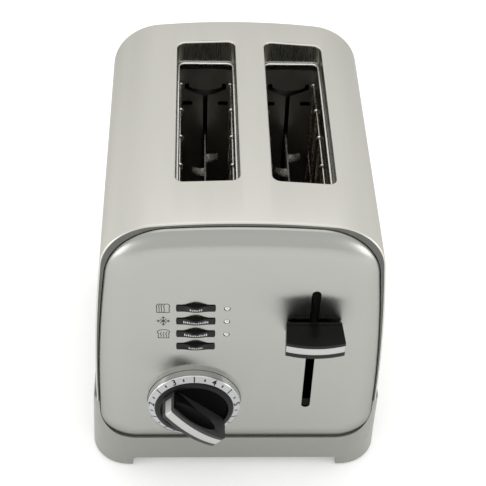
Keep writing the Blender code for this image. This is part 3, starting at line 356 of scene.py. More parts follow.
def weld(mesh):
    """Join coincident points and turn every face outwards."""
    form = bmesh.new()
    form.from_mesh(mesh)
    bmesh.ops.remove_doubles(form, verts=form.verts, dist=WELD)
    bmesh.ops.recalc_face_normals(form, faces=form.faces)
    form.to_mesh(mesh)
    form.free()


def spin(degrees, axis):
    return Matrix.Rotation(math.radians(degrees), 4, axis)


def second_look(item, look, chosen):
    """Another finish on the faces that a test picks by their middle and normal."""
    item.data.materials.append(LOOKS[look])
    index = len(item.data.materials) - 1
    for polygon in item.data.polygons:
        if chosen(polygon.center, polygon.normal):
            polygon.material_index = index


def turn_outward(item, direction):
    """Flip an open skin whose farthest face along a direction looks the other way."""
    direction = Vector(direction)
    form = bmesh.new()
    form.from_mesh(item.data)
    farthest = max(form.faces, key=lambda face: face.calc_center_median().dot(direction))
    if farthest.normal.dot(direction) < 0:
        bmesh.ops.reverse_faces(form, faces=form.faces)
    form.to_mesh(item.data)
    form.free()


def cut(item, *cutters, operation="DIFFERENCE"):
    """Apply Booleans and discard their cutters."""
    for cutter in cutters:
        modifier = item.modifiers.new("cut", "BOOLEAN")
        modifier.operation = operation
        modifier.solver = "EXACT"
        modifier.object = cutter
        bake(item)
        bpy.data.objects.remove(cutter)
    return item


def bake(item):
    """Apply a piece's modifiers."""
    mesh = evaluated(item)
    item.modifiers.clear()
    item.data = mesh


def bevel(item, width, segments, angle):
    modifier = item.modifiers.new("bevel", "BEVEL")
    modifier.width = width
    modifier.segments = segments
    modifier.limit_method = "ANGLE"
    modifier.angle_limit = math.radians(angle)
    bake(item)
    return item


def thicken(item, thickness):
    modifier = item.modifiers.new("sheet", "SOLIDIFY")
    modifier.thickness = thickness
    modifier.offset = -1.0
    modifier.use_even_offset = True
    bake(item)
    return item


def settle(item, angle=35.0):
    """Shade smooth up to an angle in degrees."""
    mesh = item.data
    mesh.polygons.foreach_set("use_smooth", [True] * len(mesh.polygons))
    mesh.set_sharp_from_angle(angle=math.radians(angle))
    mesh.update()
    return item


def grain_map(item, across):
    """A UV map whose u runs across the metal's grain, worked out at each corner of a face."""
    mesh = item.data
    layer = mesh.uv_layers.new(name="grain")
    for polygon in mesh.polygons:
        for loop in polygon.loop_indices:
            point = mesh.vertices[mesh.loops[loop].vertex_index].co
            layer.data[loop].uv = across(point, polygon.center)


def ride(item, body, slot, *nodes):
    """Put a piece on its body and let it stand for CAD nodes, which it hides; the slot is not used."""
    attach(item, body)
    if nodes:
        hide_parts(*nodes)
    return item


# ---- outlines ----
def arc(centre, radius, start, end, steps):
    """Points on an arc, angles in degrees, with their outward directions."""
    points = []
    for i in range(steps + 1):
        angle = math.radians(start + (end - start) * i / steps)
        normal = Vector((math.cos(angle), math.sin(angle)))
        points.append((Vector(centre) + normal * radius, normal))
    return points


def inset(points, distance):
    return [place - normal * distance for place, normal in points]


def bend(centre, radius, start, end, steps):
    """An arc's points alone."""
    return inset(arc(centre, radius, start, end, steps), 0.0)


def circle(centre, radius, sides):
    return bend(centre, radius, 0, 360 - 360 / sides, sides - 1)


def rounded_rectangle(half_width, half_height, radius, centre=(0.0, 0.0), steps=8):
    points = []
    for sx, sy, start in ((1, 1, 0), (-1, 1, 90), (-1, -1, 180), (1, -1, 270)):
        corner = (centre[0] + sx * (half_width - radius), centre[1] + sy * (half_height - radius))
        points += bend(corner, radius, start, start + 90, steps)
    return points


def arch(top, corner, corner_radius, side_x, side_z, foot_z=None, foot_radius=None):
    """The body's section: crowned top, round shoulders, slightly bowed sides."""
    cx, cz = corner
    crown = (top - cz) ** 2 + cx ** 2 - corner_radius ** 2
    crown /= 2 * (top - cz - corner_radius)
    bow = (side_x - cx) ** 2 + (side_z - cz) ** 2 - corner_radius ** 2
    bow /= 2 * (side_x - cx - corner_radius)
    shoulder = math.degrees(math.atan2(cz - side_z, cx - side_x + bow))
    crest = 90 - math.degrees(math.atan2(cx, cz - top + crown))
    below = math.degrees(math.asin((foot_z - side_z) / bow)) if foot_radius is None else 0.0
    half = []
    if foot_radius is not None:
        half += arc((side_x - foot_radius, side_z), foot_radius, -90, 0, 20)[:-1]
    half += arc((side_x - bow, side_z), bow, below, shoulder, 12)[:-1]
    half += arc(corner, corner_radius, shoulder, crest, 28)[:-1]
    half += arc((0.0, top - crown), crown, crest, 90, 14)
    mirrored = [(Vector((-place.x, place.y)), Vector((-normal.x, normal.y)))
                for place, normal in reversed(half[:-1])]
    return half + mirrored


SHOULDER = ((46.5 * MM, 177.0 * MM), 34.0 * MM)
PANEL_SHOULDER = ((39.3 * MM, 170.5 * MM), 38.5 * MM)
SIDE_Z = 51.0 * MM                  # height where the sides are widest
SHELL_OUTLINE = arch(BODY_TOP, *SHOULDER, BODY_HALF, SIDE_Z, foot_z=SHELL_FOOT)
RIM_OUTLINE = arch(PANEL_TOP, *PANEL_SHOULDER, PANEL_HALF, SIDE_Z, foot_z=SHELL_FOOT)
PANEL_OUTLINE = arch(PANEL_TOP, *PANEL_SHOULDER, PANEL_HALF, SIDE_Z,
                     foot_radius=SIDE_Z - PANEL_FOOT)


def crown_height(x):
    """Height of the shell's upper surface at a place across the body."""
    upper = [place for place, normal in SHELL_OUTLINE if place.y > SHOULDER[0][1]]
    for right, left in zip(upper, upper[1:]):
        if left.x <= x <= right.x:
            share = (x - left.x) / (right.x - left.x)
            return left.y + (right.y - left.y) * share
    return BODY_TOP


def at(points, y):
    """An outline of the body's section, at a place along the body."""
    return [(point.x, y, point.y) for point in points]


def level(points, z):
    """A plan's outline, at a height."""
    return [(point.x, point.y, z) for point in points]


def stroke(points, width, steps=6):
    """The outline of a path of a given width with round ends."""
    half = width / 2
    path = [Vector(point) for point in points]
    left, right = [], []
    for i, point in enumerate(path):
        direction = (path[min(i + 1, len(path) - 1)] - path[max(i - 1, 0)]).normalized()
        side = Vector((-direction.y, direction.x))
        left.append(point + side * half)
        right.append(point - side * half)
    start = math.degrees(math.atan2(*(right[-1] - path[-1]).yx))
    end_cap = bend(path[-1], half, start, start + 180, steps)[1:-1]
    start = math.degrees(math.atan2(*(left[0] - path[0]).yx))
    start_cap = bend(path[0], half, start, start + 180, steps)[1:-1]
    return right + end_cap + list(reversed(left)) + start_cap


def facing_front(x, y, z):
    """A pose whose plane is the front's: u to the right, v up, thickness towards -Y."""
    return Matrix.Translation((x, y, z)) @ spin(90, "X")


def facing_side(x, y):
    """A pose whose plane is the side's: u to the rear, v up, thickness towards +X."""
    return Matrix.Translation((x, y, 0)) @ spin(90, "Z") @ spin(90, "X")


def slot_outline(x, grow):
    """A bread slot's outline, grown outwards."""
    return rounded_rectangle(SLOT_HALF_WIDTH + grow, SLOT_HALF_LENGTH + grow, SLOT_CORNER + grow,
                             (x, SLOT_Y))


# ---- shell, panels and base ----
def outer_shell():
    """One sheet wrapped over the body, with both slots cut."""
    radius = 1.2 * MM
    rim = inset(RIM_OUTLINE, -0.5 * MM)
    rows = []
    for plane, inward in ((FRONT, 1), (REAR, -1)):
        end = [at(rim, plane)]
        for i in range(6):
            turn = math.radians(90 * i / 5)
            end.append(at(inset(SHELL_OUTLINE, radius * (1 - math.sin(turn))),
                          plane + inward * radius * (1 - math.cos(turn))))
        rows += end if inward > 0 else end[::-1]
    shell = skin("shell_skin", rows, "brushed_steel")
    turn_outward(shell, (0, 0, 1))
    thicken(shell, SHELL_SHEET)
    crown = Matrix.Translation((0, 0, BODY_TOP - 12 * MM))
    cut(shell, *[slab("slot_cutter", [slot_outline(x, SLOT_LIP)], 40 * MM, crown)
                 for x in SLOT_X.values()])
    settle(shell, 40)

    def on_rim(centre, normal):
        from_end = min(abs(centre.y - FRONT), abs(centre.y - REAR))
        return from_end < 0.05 * MM and abs(normal.y) > 0.9

    # painted shade: the faces at either end that look along the body take the darker rim steel
    second_look(shell, "rim_painted_shade", on_rim)

    def across(point, centre):
        side = 1 if centre.x > 0 else -1
        return (point.x - side * point.z, point.y)

    grain_map(shell, across)
    ride(shell, "housing", "brushed_steel", "outer_shell")
    for side, x in SLOT_X.items():
        slot_collar(side, x)


def slot_collar(side, x):
    """The slot's rounded lip, its wall and the rolled bead round its lower edge."""
    rows = []
    for i in range(7):
        turn = math.radians(90 * i / 6)
        drop = SLOT_LIP * (1 - math.cos(turn)) + 0.01 * MM
        rows.append([(point.x, point.y, crown_height(point.x) - drop)
                     for point in slot_outline(x, SLOT_LIP * (1 - math.sin(turn)))])
    lip = settle(skin("slot_lip_" + side, rows, "brushed_steel", closed=True), 60)
    grain_map(lip, lambda point, centre: (point.x, point.y))
    ride(lip, "housing", "brushed_steel")
    floor = BODY_TOP - COLLAR_DEPTH
    rows = []
    for share in (0.0, 0.5, 1.0):
        rows.append([(point.x, point.y,
                      (crown_height(point.x) - SLOT_LIP) * (1 - share) + (floor + BEAD) * share)
                     for point in slot_outline(x, 0.0)])
    wall = settle(skin("slot_collar_" + side, rows, "collar_steel", closed=True), 50)
    ride(wall, "housing", "brushed_steel")
    rows = []
    for i in range(13):
        turn = math.radians(30 * i)
        reach = BEAD * (1 - math.cos(turn)) - 0.2 * MM
        rows.append(level(slot_outline(x, -reach), floor + BEAD * math.sin(turn)))
    bead = settle(skin("slot_bead_" + side, rows, "wire_steel", closed=True), 60)
    ride(bead, "housing", "brushed_steel")


def pillow(name, plane, bulge, sign):
    """A pressed end panel: a flat middle and a margin curving back to the rim."""
    rings = 18
    rows = [at(inset(PANEL_OUTLINE, 0.0), plane - sign * 5.0 * MM)]
    for i in range(rings + 1):
        share = i / rings
        rise = (1 - (1 - share) ** 2) ** 0.75
        rows.append(at(inset(PANEL_OUTLINE, PANEL_MARGIN * share), plane + sign * bulge * rise))
    panel = skin(name, rows, "satin_steel", closed=True, last=True)
    turn_outward(panel, (0, sign, 0))
    return thicken(panel, PANEL_SHEET)


def front_panel():
    """The panel with its openings for the lever, the keys, the lamps and the dial."""
    panel = pillow("front_skin", FRONT, FRONT - PANEL_FACE, -1)
    x = middle("lever_arm").x
    width = LEVER_SLOT_WIDTH
    ends = (LEVER_SLOT_ENDS[0] + width / 2, LEVER_SLOT_ENDS[1] - width / 2)
    openings = [stroke([(x, ends[0]), (x, ends[1])], width, 12)]
    gap = 0.3 * MM
    for name in KEYS:
        place, reach = middle(name), high(name) - middle(name)
        openings.append(rounded_rectangle(reach.x + gap, reach.z + gap, 1.2 * MM, (place.x, place.z), 5))
    for i in (1, 2, 3):
        place = middle("indicator_lens_%d" % i)
        radius = high("indicator_lens_%d" % i).x - place.x + 0.1 * MM
        openings.append(circle((place.x, place.z), radius, 24))
    openings.append(circle((DIAL.x, DIAL.z), BEZEL_RADIUS + 0.25 * MM, 72))
    made = [slab("opening", [outline], 14 * MM, facing_front(0, PANEL_FACE, 0)) for outline in openings]
    cut(panel, *made)
    settle(panel, 40)

    def in_lever_slot(centre, normal):
        return abs(centre.x - x) < width * 0.6 and abs(normal.y) < 0.5 \
            and ends[0] - width < centre.z < ends[1] + width

    # painted shade: the lever slot's walls are made near-black, as if in shade
    second_look(panel, "painted_shade_black", in_lever_slot)
    grain_map(panel, lambda point, centre: (point.z, point.x))
    ride(panel, "housing", "satin_steel", "front_panel")


def rear_panel():
    """The rear panel, with a hole for the cord's gland."""
    panel = pillow("rear_skin", REAR, REAR_FACE - REAR, 1)
    gland = middle("cord_gland")
    hole = circle((gland.x, gland.z), 6.8 * MM, 36)
    cut(panel, slab("opening", [hole], 30 * MM, facing_front(0, REAR, 0)))
    settle(panel, 40)
    grain_map(panel, lambda point, centre: (point.z, point.x))
    ride(panel, "housing", "satin_steel", "rear_panel")


def base_section(share):
    """The skirt's half width, reach ahead of the rims and corner radius, foot to top."""
    z = low("foot_pad_front_left").z + 1.2 * MM + (BASE_TOP - 1.2 * MM) * share
    half_width = BASE_HALF - 3.2 * MM * share ** 1.1
    ahead = BASE_AHEAD * (1 - share ** 2.2) + 1.0 * MM * share ** 2.2
    radius = 24.0 * MM - 16.0 * MM * share ** 1.35
    return z, half_width, ahead, radius


def recess_outline():
    """Where the skirt stands back to the rims: wider than the panel at its lower corners."""
    corner, edge = 30.0 * MM, BODY_HALF + 0.6 * MM
    foot = PANEL_FOOT - PANEL_GAP
    points = [(edge, BASE_TOP + 10 * MM), (-edge, BASE_TOP + 10 * MM)]
    points += bend((corner - edge, foot + corner), corner, 180, 270, 24)
    points += bend((edge - corner, foot + corner), corner, 270, 360, 24)
    return points


def foot_arch(span):
    """The low arch between two feet, as an outline reaching below the floor."""
    top, turn = 8.0 * MM, 3.0 * MM
    outline = [(-span, -5 * MM), (span, -5 * MM), (span, top - turn - 2 * MM)]
    outline += bend((span - turn, top - turn), turn, 0, 90, 8)
    outline += bend((turn - span, top - turn), turn, 90, 180, 8)
    outline.append((-span, top - turn - 2 * MM))
    return outline


def base():
    """The skirt with its recessed ends and arches, its inner ledge and the feet's bosses."""
    half_length = (REAR - FRONT) / 2
    centre = (REAR + FRONT) / 2
    rows = []
    for i in range(17):
        z, half_width, ahead, radius = base_section(i / 16)
        rows.append(level(rounded_rectangle(half_width, half_length + ahead, radius, (0, centre), 14), z))
    edge = 1.0 * MM
    for i in range(1, 5):
        turn = math.radians(90 * i / 4)
        back = edge * (1 - math.cos(turn))
        outline = rounded_rectangle(half_width - back, half_length + ahead - back, radius - back,
                                    (0, centre), 14)
        rows.append(level(outline, z - edge + edge * math.sin(turn)))
    rows[16] = [(x, y, BASE_TOP - edge) for x, y, z in rows[16]]
    rows[15] = [(x, y, min(z, BASE_TOP - 3 * MM)) for x, y, z in rows[15]]
    skirt = skin("base_skirt", rows, "painted_base", closed=True)
    turn_outward(skirt, (1, 0, 0))
    thicken(skirt, BASE_WALL)
    cutters = []
    for plane, sign in ((FRONT, -1), (REAR, 1)):
        cutters.append(slab("opening", [inset(PANEL_OUTLINE, -PANEL_GAP)], 28 * MM,
                            facing_front(0, plane, 0)))
        cutters.append(slab("recess", [recess_outline()], 10 * MM,
                            facing_front(0, plane + sign * 5 * MM, 0)))
    reach = half_length + 20 * MM
    for span, pose in ((66.0 * MM, facing_front(0, centre, 0)),
                       (half_length - 24 * MM, facing_side(0, centre))):
        cutters.append(slab("arch", [foot_arch(span)], 2 * reach, pose))
    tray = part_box("crumb_tray")
    mouth = rounded_rectangle(61.0 * MM, 4.4 * MM, 0.8 * MM, (0, tray[0].z + 5.8 * MM), 4)
    cutters.append(slab("mouth", [mouth], 40 * MM, facing_front(0, REAR, 0)))
    cut(skirt, *cutters)
    bevel(skirt, 0.5 * MM, 3, 50)
    settle(skirt, 40)
    ride(skirt, "housing", "painted_base", "base")
    outer = rounded_rectangle(88.5 * MM, half_length, 20 * MM, (0, centre), 8)
    inner = rounded_rectangle(70.0 * MM, half_length - 14 * MM, 10 * MM, (0, centre), 6)
    ledge = slab("base_ledge", [outer, inner], 2 * MM, Matrix.Translation((0, 0, 11 * MM)), "painted_base")
    ride(settle(ledge), "housing", "painted_base")
    for name in CORNERS:
        pad = middle("foot_pad_" + name)
        profile = [(6.5 * MM, 2.0 * MM), (8.5 * MM, 2.0 * MM), (8.5 * MM, 11 * MM), (6.5 * MM, 11 * MM)]
        place = Matrix.Translation((pad.x, pad.y, 0))
        boss = turned("foot_boss_" + name, profile, place, "painted_base", 48)
        ride(settle(boss), "housing", "painted_base")


# ---- lever, keys, lamps and printing ----
def bowed(reach, front, sweep, half_width, setback=0.0):
    """A bowed front edge between -reach and +reach about the lever's middle."""
    steps = 28
    points = []
    for i in range(steps + 1):
        x = reach * (-1 + 2 * i / steps)
        points.append((x, front + setback + sweep * (x / half_width) ** 2))
    return points


def lever_knob():
    """The knob with a bowed front, a groove for its bright strip and a scribed line on top."""
    box_low, box_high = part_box("lever_knob")
    half = box_high.x - LEVER.x
    front, rear = box_low.y, box_high.y
    sweep = rear - front - 16.0 * MM
    height = box_high.z - box_low.z
    pose = Matrix.Translation((LEVER.x, 0, LEVER.z))
    outline = [(half - 1.0 * MM, rear), (1.0 * MM - half, rear)]
    outline += bowed(half, front, sweep, half)
    knob = slab("lever_grip", [outline], height, pose, "black_plastic")
    bevel(knob, 1.1 * MM, 5, 30)
    strip_z = 0.4 * MM
    groove = slab("groove", [bowed(half + 1 * MM, front, sweep, half, -2 * MM)
                             + bowed(half + 1 * MM, front, sweep, half, 0.9 * MM)[::-1]],
                  5.2 * MM, pose @ Matrix.Translation((0, 0, strip_z)))
    far, near_edge, far_edge = half + 2 * MM, rear - 2.4 * MM, rear - 2.0 * MM
    line = slab("line", [[(-far, near_edge), (far, near_edge), (far, far_edge), (-far, far_edge)]],
                1.0 * MM, pose @ Matrix.Translation((0, 0, height / 2)))
    pocket = slab("pocket", [rounded_rectangle(1.6 * MM, 5.0 * MM, 0.3 * MM, (0, rear - 1.6 * MM), 2)],
                  8.4 * MM, pose)
    cut(knob, groove, line, pocket)
    settle(knob, 35)
    ride(knob, "carriage", "black_plastic", "lever_knob")
    reach = half - 0.25 * MM
    strip = slab("lever_strip", [bowed(reach, front, sweep, half, 0.05 * MM)
                                 + bowed(reach, front, sweep, half, 1.0 * MM)[::-1]],
                 5.0 * MM, pose @ Matrix.Translation((0, 0, strip_z)), "silver_trim")
    bevel(strip, 0.25 * MM, 2, 50)
    ride(settle(strip, 35), "carriage", "silver_trim", "lever_knob_trim")


KEY_BUMP = 0.75                     # share of a key's half width that its bump takes up
KEY_RISE = 1.5 * MM
KEY_LEAN = 0.7 * MM                 # the nose's upper edge stands out more than its lower edge
MARK_PITCH = 1.05 * MM
MARK_WIDTHS = {"button_max": 7.2 * MM, "button_defrost": 14.6 * MM,
               "button_reheat": 13.2 * MM, "button_stop": 8.4 * MM}


def key_front(across):
    """How far the key's front stands back from its nose, and its slope, at a share of its half."""
    share = min(1.0, abs(across) / KEY_BUMP)
    back = KEY_RISE * math.sin(math.pi / 2 * share) ** 2
    slope = KEY_RISE * math.pi / (2 * KEY_BUMP) * math.sin(math.pi * share)
    return back, math.copysign(slope, across)


def keys():
    """Each key's cap, with a row of short bars of two heights as its generic mark."""
    for node, body in KEYS.items():
        box_low, box_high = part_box(node)
        place = middle(node)
        half = box_high.x - place.x
        height = box_high.z - box_low.z
        face = box_low.y
        outline = [(half, box_high.y), (-half, box_high.y)]
        outline += [(half * (-1 + i / 20), face + key_front(-1 + i / 20)[0]) for i in range(41)]
        centre = Matrix.Translation((place.x, 0, place.z))
        key = slab(node + "_cap", [outline], height, centre, "black_plastic")
        bevel(key, 0.9 * MM, 5, 30)
        for vertex in key.data.vertices:
            if vertex.co.y < face + 3 * MM:
                back, slope = key_front((vertex.co.x - place.x) / half)
                vertex.co.y -= KEY_LEAN * (1 - back / KEY_RISE) * (vertex.co.z - place.z) / (height / 2)
        ride(settle(key, 35), body, "black_plastic", node)
        count = round(MARK_WIDTHS[node] / MARK_PITCH)
        for i in range(count):
            u = (i - (count - 1) / 2) * MARK_PITCH
            tall = 1.9 * MM if i % 3 != 1 else 1.4 * MM
            back, slope = key_front(u / half)
            points = rounded_rectangle(0.27 * MM, tall / 2, 0.12 * MM, (0, 0), 3)
            nose = 1 - back / KEY_RISE
            rise = tall / 2 - 1.15 * MM
            lean = KEY_LEAN * nose * rise / (height / 2)
            pose = facing_front(place.x + u, face + back - PRINT_LIFT - lean, place.z + rise)
            pose = pose @ Matrix.Rotation(math.atan(slope / half), 4, "Y") \
                @ Matrix.Rotation(math.atan(2 * KEY_LEAN * nose / height), 4, "X")
            mark = slab("%s_mark_%d" % (node, i + 1), [points], 0.06 * MM, pose, "printed_white")
            ride(mark, body, "white_scale")


def lamps():
    """Mirror-like domes whose lower crescent is dark."""
    for i in (1, 2, 3):
        node = "indicator_lens_%d" % i
        place = middle(node)
        radius = high(node).x - place.x
        proud = PANEL_FACE - low(node).y
        turns = [math.radians(9 * k) for k in range(11)]
        profile = [(radius * math.sin(turn), proud + radius * (math.cos(turn) - 1)) for turn in turns]
        profile.append((radius, -3.0 * MM))
        pose = facing_front(place.x, PANEL_FACE, place.z)
        lens = turned("lamp_dome_%d" % i, profile, pose, "clear_lens", 32, closed=False)

        def in_crescent(centre, normal):
            across, up = centre.x - place.x, centre.z - place.z
            return up < 0.1 * radius and math.hypot(across, up - 0.30 * radius) > 0.72 * radius

        # painted shade: the dome's lower crescent is made near-black, standing in for the shade beneath it
        second_look(lens, "painted_shade_black", in_crescent)
        ride(settle(lens, 60), "housing", "clear_lens", node)


def printed(name, shapes, place):
    """Fine marks printed on the panel, one piece per mark."""
    pose = facing_front(place[0], PANEL_FACE - PRINT_LIFT, place[1])
    for i, outline in enumerate(shapes):
        mark = slab("%s_%d" % (name, i + 1), [outline], 0.03 * MM, pose, "printed_grey")
        ride(mark, "housing", "black_plastic")


def slice_outline(x, z, width, height):
    """A slice of bread: square below, with a domed crown wider than its sides."""
    half = width / 2
    waist = half * 0.85
    points = [(x - waist, z), (x + waist, z), (x + waist, z + height * 0.6)]
    for i in range(9):
        turn = math.radians(180 * i / 8)
        points.append((x + half * math.cos(turn), z + height * (0.72 + 0.28 * math.sin(turn))))
    points.append((x - waist, z + height * 0.6))
    return points


def hollow(outline, width):
    """The strokes along a closed outline."""
    return [stroke(ends, width, 3) for ends in zip(outline, outline[1:] + outline[:1])]


def icons():
    """Marks beside the first three keys: several slices, a flake and a warm slice."""
    x = low("button_max").x - 7.6 * MM
    line = 0.45 * MM
    tall = 7.0 * MM
    heights = [middle(node).z for node in ("button_max", "button_defrost", "button_reheat")]
    foot = -3.6 * MM
    several = []
    for i in range(3):
        behind = hollow(slice_outline((-2.3 + 1.35 * i) * MM, foot, 3.2 * MM, tall), line)
        several += behind[7:] + behind[:1]
    several += hollow(slice_outline(2.0 * MM, foot, 3.4 * MM, tall), line)
    printed("icon_slices", several, (x, heights[0]))
    flake = []
    for i in range(8):
        turn = math.radians(45 * i)
        reach = 3.8 * MM if i % 2 == 0 else 2.6 * MM
        tip = Vector((math.cos(turn), math.sin(turn)))
        side = Vector((-tip.y, tip.x))
        flake.append(stroke([tip * 0.1 * MM, tip * reach], line, 3))
        if i % 2 == 0:
            for sign in (-1, 1):
                flake.append(stroke([tip * 2.2 * MM, tip * 3.2 * MM + side * sign * 0.9 * MM], line, 3))
    printed("icon_flake", flake, (x, heights[1]))
    warm = hollow(slice_outline(0, foot, 7.2 * MM, tall), line)
    for i in range(3):
        wave = [((-1.6 + i * 1.6 + 0.35 * math.sin(k * 1.3)) * MM, (-2.6 + k * 0.65) * MM)
                for k in range(7)]
        warm.append(stroke(wave, line, 3))
    printed("icon_warm", warm, (x, heights[2]))


# ---- dial ----
DISC_RADIUS = 24.0 * MM
DISC_FACE = 7.8 * MM                # heights on the dial are ahead of the panel's face
GRIP_HALF = 21.0 * MM
GRIP_FRONT = 22.2 * MM
GRIP_WIDTH = 10.0 * MM
STRIP_WIDTH = 5.2 * MM
REST_TILT = 42.5                    # degrees that the grip dips to the right at rest
SCOOP_ALONG = -4.0 * MM             # thumb scoops in both sides of the grip
SCOOP_OUT = 9.6 * MM
SCOOP_ASIDE = 7.0 * MM
SCOOP_RADII = (19.0 * MM, 6.3 * MM, 4.0 * MM)
SCALE_BARS = (-110, -55, 0, 55, 110)
SCALE_NUMERALS = zip("123456", (-138, -83, -27.5, 27.5, 83, 138))


def dial():
    """The bezel, the conical scale with its marks, and the knob."""
    face_pose = facing_front(DIAL.x, PANEL_FACE, DIAL.z)
    rim = BEZEL_RADIUS
    lip = PANEL_FACE - low("dial_bezel").y
    bezel = [(rim - inward * MM, lip - sunk * MM) for inward, sunk in
             ((0.6, 0.9), (0.55, 0.15), (0.45, 0), (0.25, 0.1), (0.1, 0.5), (0, 1.2))]
    bezel += [(rim, -1.5 * MM), (rim - 6 * MM, -1.5 * MM), (rim - 6 * MM, lip - 0.9 * MM)]
    ring = turned("dial_surround", bezel, face_pose, "chrome")
    ride(settle(ring, 50), "housing", "chrome", "dial_bezel")
    outer, inner = rim - 0.6 * MM, DISC_RADIUS + 0.1 * MM
    outer_out, inner_out = lip - 0.2 * MM, lip + 1.6 * MM
    scale = [(outer, outer_out - 0.6 * MM), (outer, outer_out), (inner, inner_out),
             (inner, outer_out - 0.6 * MM)]
    plate = turned("dial_scale", scale, face_pose, "white_scale")
    ride(settle(plate, 40), "housing", "white_scale", "dial_scale_ring")
    slope = math.atan2(inner_out - outer_out, outer - inner)
    cone_middle = (0, (inner + outer) / 2, (inner_out + outer_out) / 2 + 0.03 * MM)
    on_cone = Matrix.Translation(cone_middle) @ Matrix.Rotation(-slope, 4, "X")

    def mark(name, angle, outline):
        pose = face_pose @ spin(-angle, "Z") @ on_cone
        piece = slab(name, [outline], 0.06 * MM, pose, "printed_black")
        ride(piece, "housing", "black_plastic")

    half_step = math.hypot(inner_out - outer_out, outer - inner) / 2 - 0.2 * MM
    for i, angle in enumerate(SCALE_BARS):
        bar = rounded_rectangle(0.36 * MM, half_step, 0.1 * MM, (0, 0), 2)
        mark("scale_bar_%d" % (i + 1), angle, bar)
    number = 0
    for value, angle in SCALE_NUMERALS:
        curve = bpy.data.curves.new("numeral_" + value, "FONT")
        curve.body = value
        curve.size = 5.4 * MM
        curve.align_x = "CENTER"
        curve.align_y = "CENTER"
        curve.offset = 0.12 * MM
        curve.extrude = 0.03 * MM
        pose = face_pose @ spin(-angle, "Z") @ on_cone
        numeral = from_curve("numeral_" + value, curve, pose, "printed_black")
        ride(numeral, "housing", "black_plastic")
        for side in (-1, 1):
            number += 1
            mark("scale_dot_%d" % number, angle + side * 13.3,
                 rounded_rectangle(0.45 * MM, 0.85 * MM, 0.2 * MM, (0, 0), 3))
    dial_knob(face_pose)


def grip_outline(shrink, start):
    """The grip's edge in (length, outwards), from its right foot over the bow to its left."""
    turn = 2.2 * MM
    bow = PANEL_FACE - low("dial_knob").y - GRIP_FRONT
    corner = bend((GRIP_HALF - turn - shrink, GRIP_FRONT - turn - shrink), turn, 8, 62, 6)
    line = [Vector((GRIP_HALF - shrink, start))] + corner
    for i in range(1, 24):
        u = 1 - 2 * i / 24
        line.append(Vector(((GRIP_HALF - 2 * MM) * u, GRIP_FRONT + bow * (1 - u * u) - shrink)))
    line += [Vector((-point.x, point.y)) for point in reversed(corner)]
    line.append(Vector((shrink - GRIP_HALF, start)))
    return line


def grip_band(outside, inside, start, foot):
    """A band along the grip's edge between two depths."""
    outer, inner = grip_outline(outside, start), grip_outline(inside, start)
    inner[0].y = outer[0].y = foot
    return outer + inner[::-1]


def dial_knob(face_pose):
    """The disc with its sunk middle, and the grip with its scoops and bright strip."""
    face, radius = DISC_FACE, DISC_RADIUS
    back = PANEL_FACE - high("dial_knob").y
    profile = [(reach * MM, face - sunk * MM) for reach, sunk in
               ((0, 1.5), (19.4, 1.5), (19.9, 1.3), (20.5, 0.2), (20.9, 0))]
    profile += [(radius - inward * MM, face - sunk * MM) for inward, sunk in
                ((1.0, 0.2), (0.4, 0.5), (0, 1.2))] + [(radius, back), (0, back)]
    knob = turned("dial_body", profile, face_pose, "black_plastic", 120, closed=False)
    upright = face_pose @ spin(-REST_TILT, "Z") @ spin(90, "X")
    grip = slab("grip", [grip_outline(0.0, back + 1.0 * MM)], GRIP_WIDTH, upright)
    bevel(grip, 0.9 * MM, 4, 45)
    for side in (-1, 1):
        bpy.ops.mesh.primitive_uv_sphere_add(segments=64, ring_count=40)
        scoop = bpy.context.object
        place = Matrix.Translation((SCOOP_ALONG, face + SCOOP_OUT, side * SCOOP_ASIDE))
        scoop.data.transform(upright @ place @ Matrix.Diagonal((*SCOOP_RADII, 1.0)))
        cut(grip, scoop)
    cut(knob, grip, operation="UNION")
    start = face + 3.0 * MM
    band = grip_band(-2.0 * MM, 1.0 * MM, start, GRIP_FRONT - 4 * MM)
    cut(knob, slab("groove", [band], STRIP_WIDTH + 0.2 * MM, upright))
    settle(knob, 32)
    undo = upright.inverted()

    def on_grip(centre, normal):
        return (undo @ centre).y > face + 0.1 * MM

    def sunk(centre, normal):
        x, y, z = undo @ centre
        depth = math.hypot((x - SCOOP_ALONG) / SCOOP_RADII[0], (y - face - SCOOP_OUT) / SCOOP_RADII[1],
                           (abs(z) - SCOOP_ASIDE) / SCOOP_RADII[2])
        in_recess = math.hypot(x, z) < 20.6 * MM and face - 2 * MM < y < face - 0.1 * MM
        return depth < 1.02 or in_recess

    second_look(knob, "grip_black", on_grip)
    # painted shade: the thumb scoops and the disc's sunk middle are made darker than the knob, as shade
    second_look(knob, "painted_shade_black", sunk)
    ride(knob, "dial", "black_plastic", "dial_knob")
    band = grip_band(0.05 * MM, 1.05 * MM, start + 0.2 * MM, GRIP_FRONT - 3.8 * MM)
    strip = slab("dial_strip", [band], STRIP_WIDTH, upright, "silver_trim")
    bevel(strip, 0.2 * MM, 2, 50)
    ride(settle(strip, 35), "dial", "silver_trim", "dial_knob_trim")


# ---- inside the slots ----
UPRIGHT = 0.85 * MM                 # radii of the guides' wires
TIE = 0.7 * MM
HOOK = 1.75 * MM                    # radius of an upright's bend over the rod
UPRIGHT_PITCH = 27.0 * MM
TAB_PITCH = 14.5 * MM


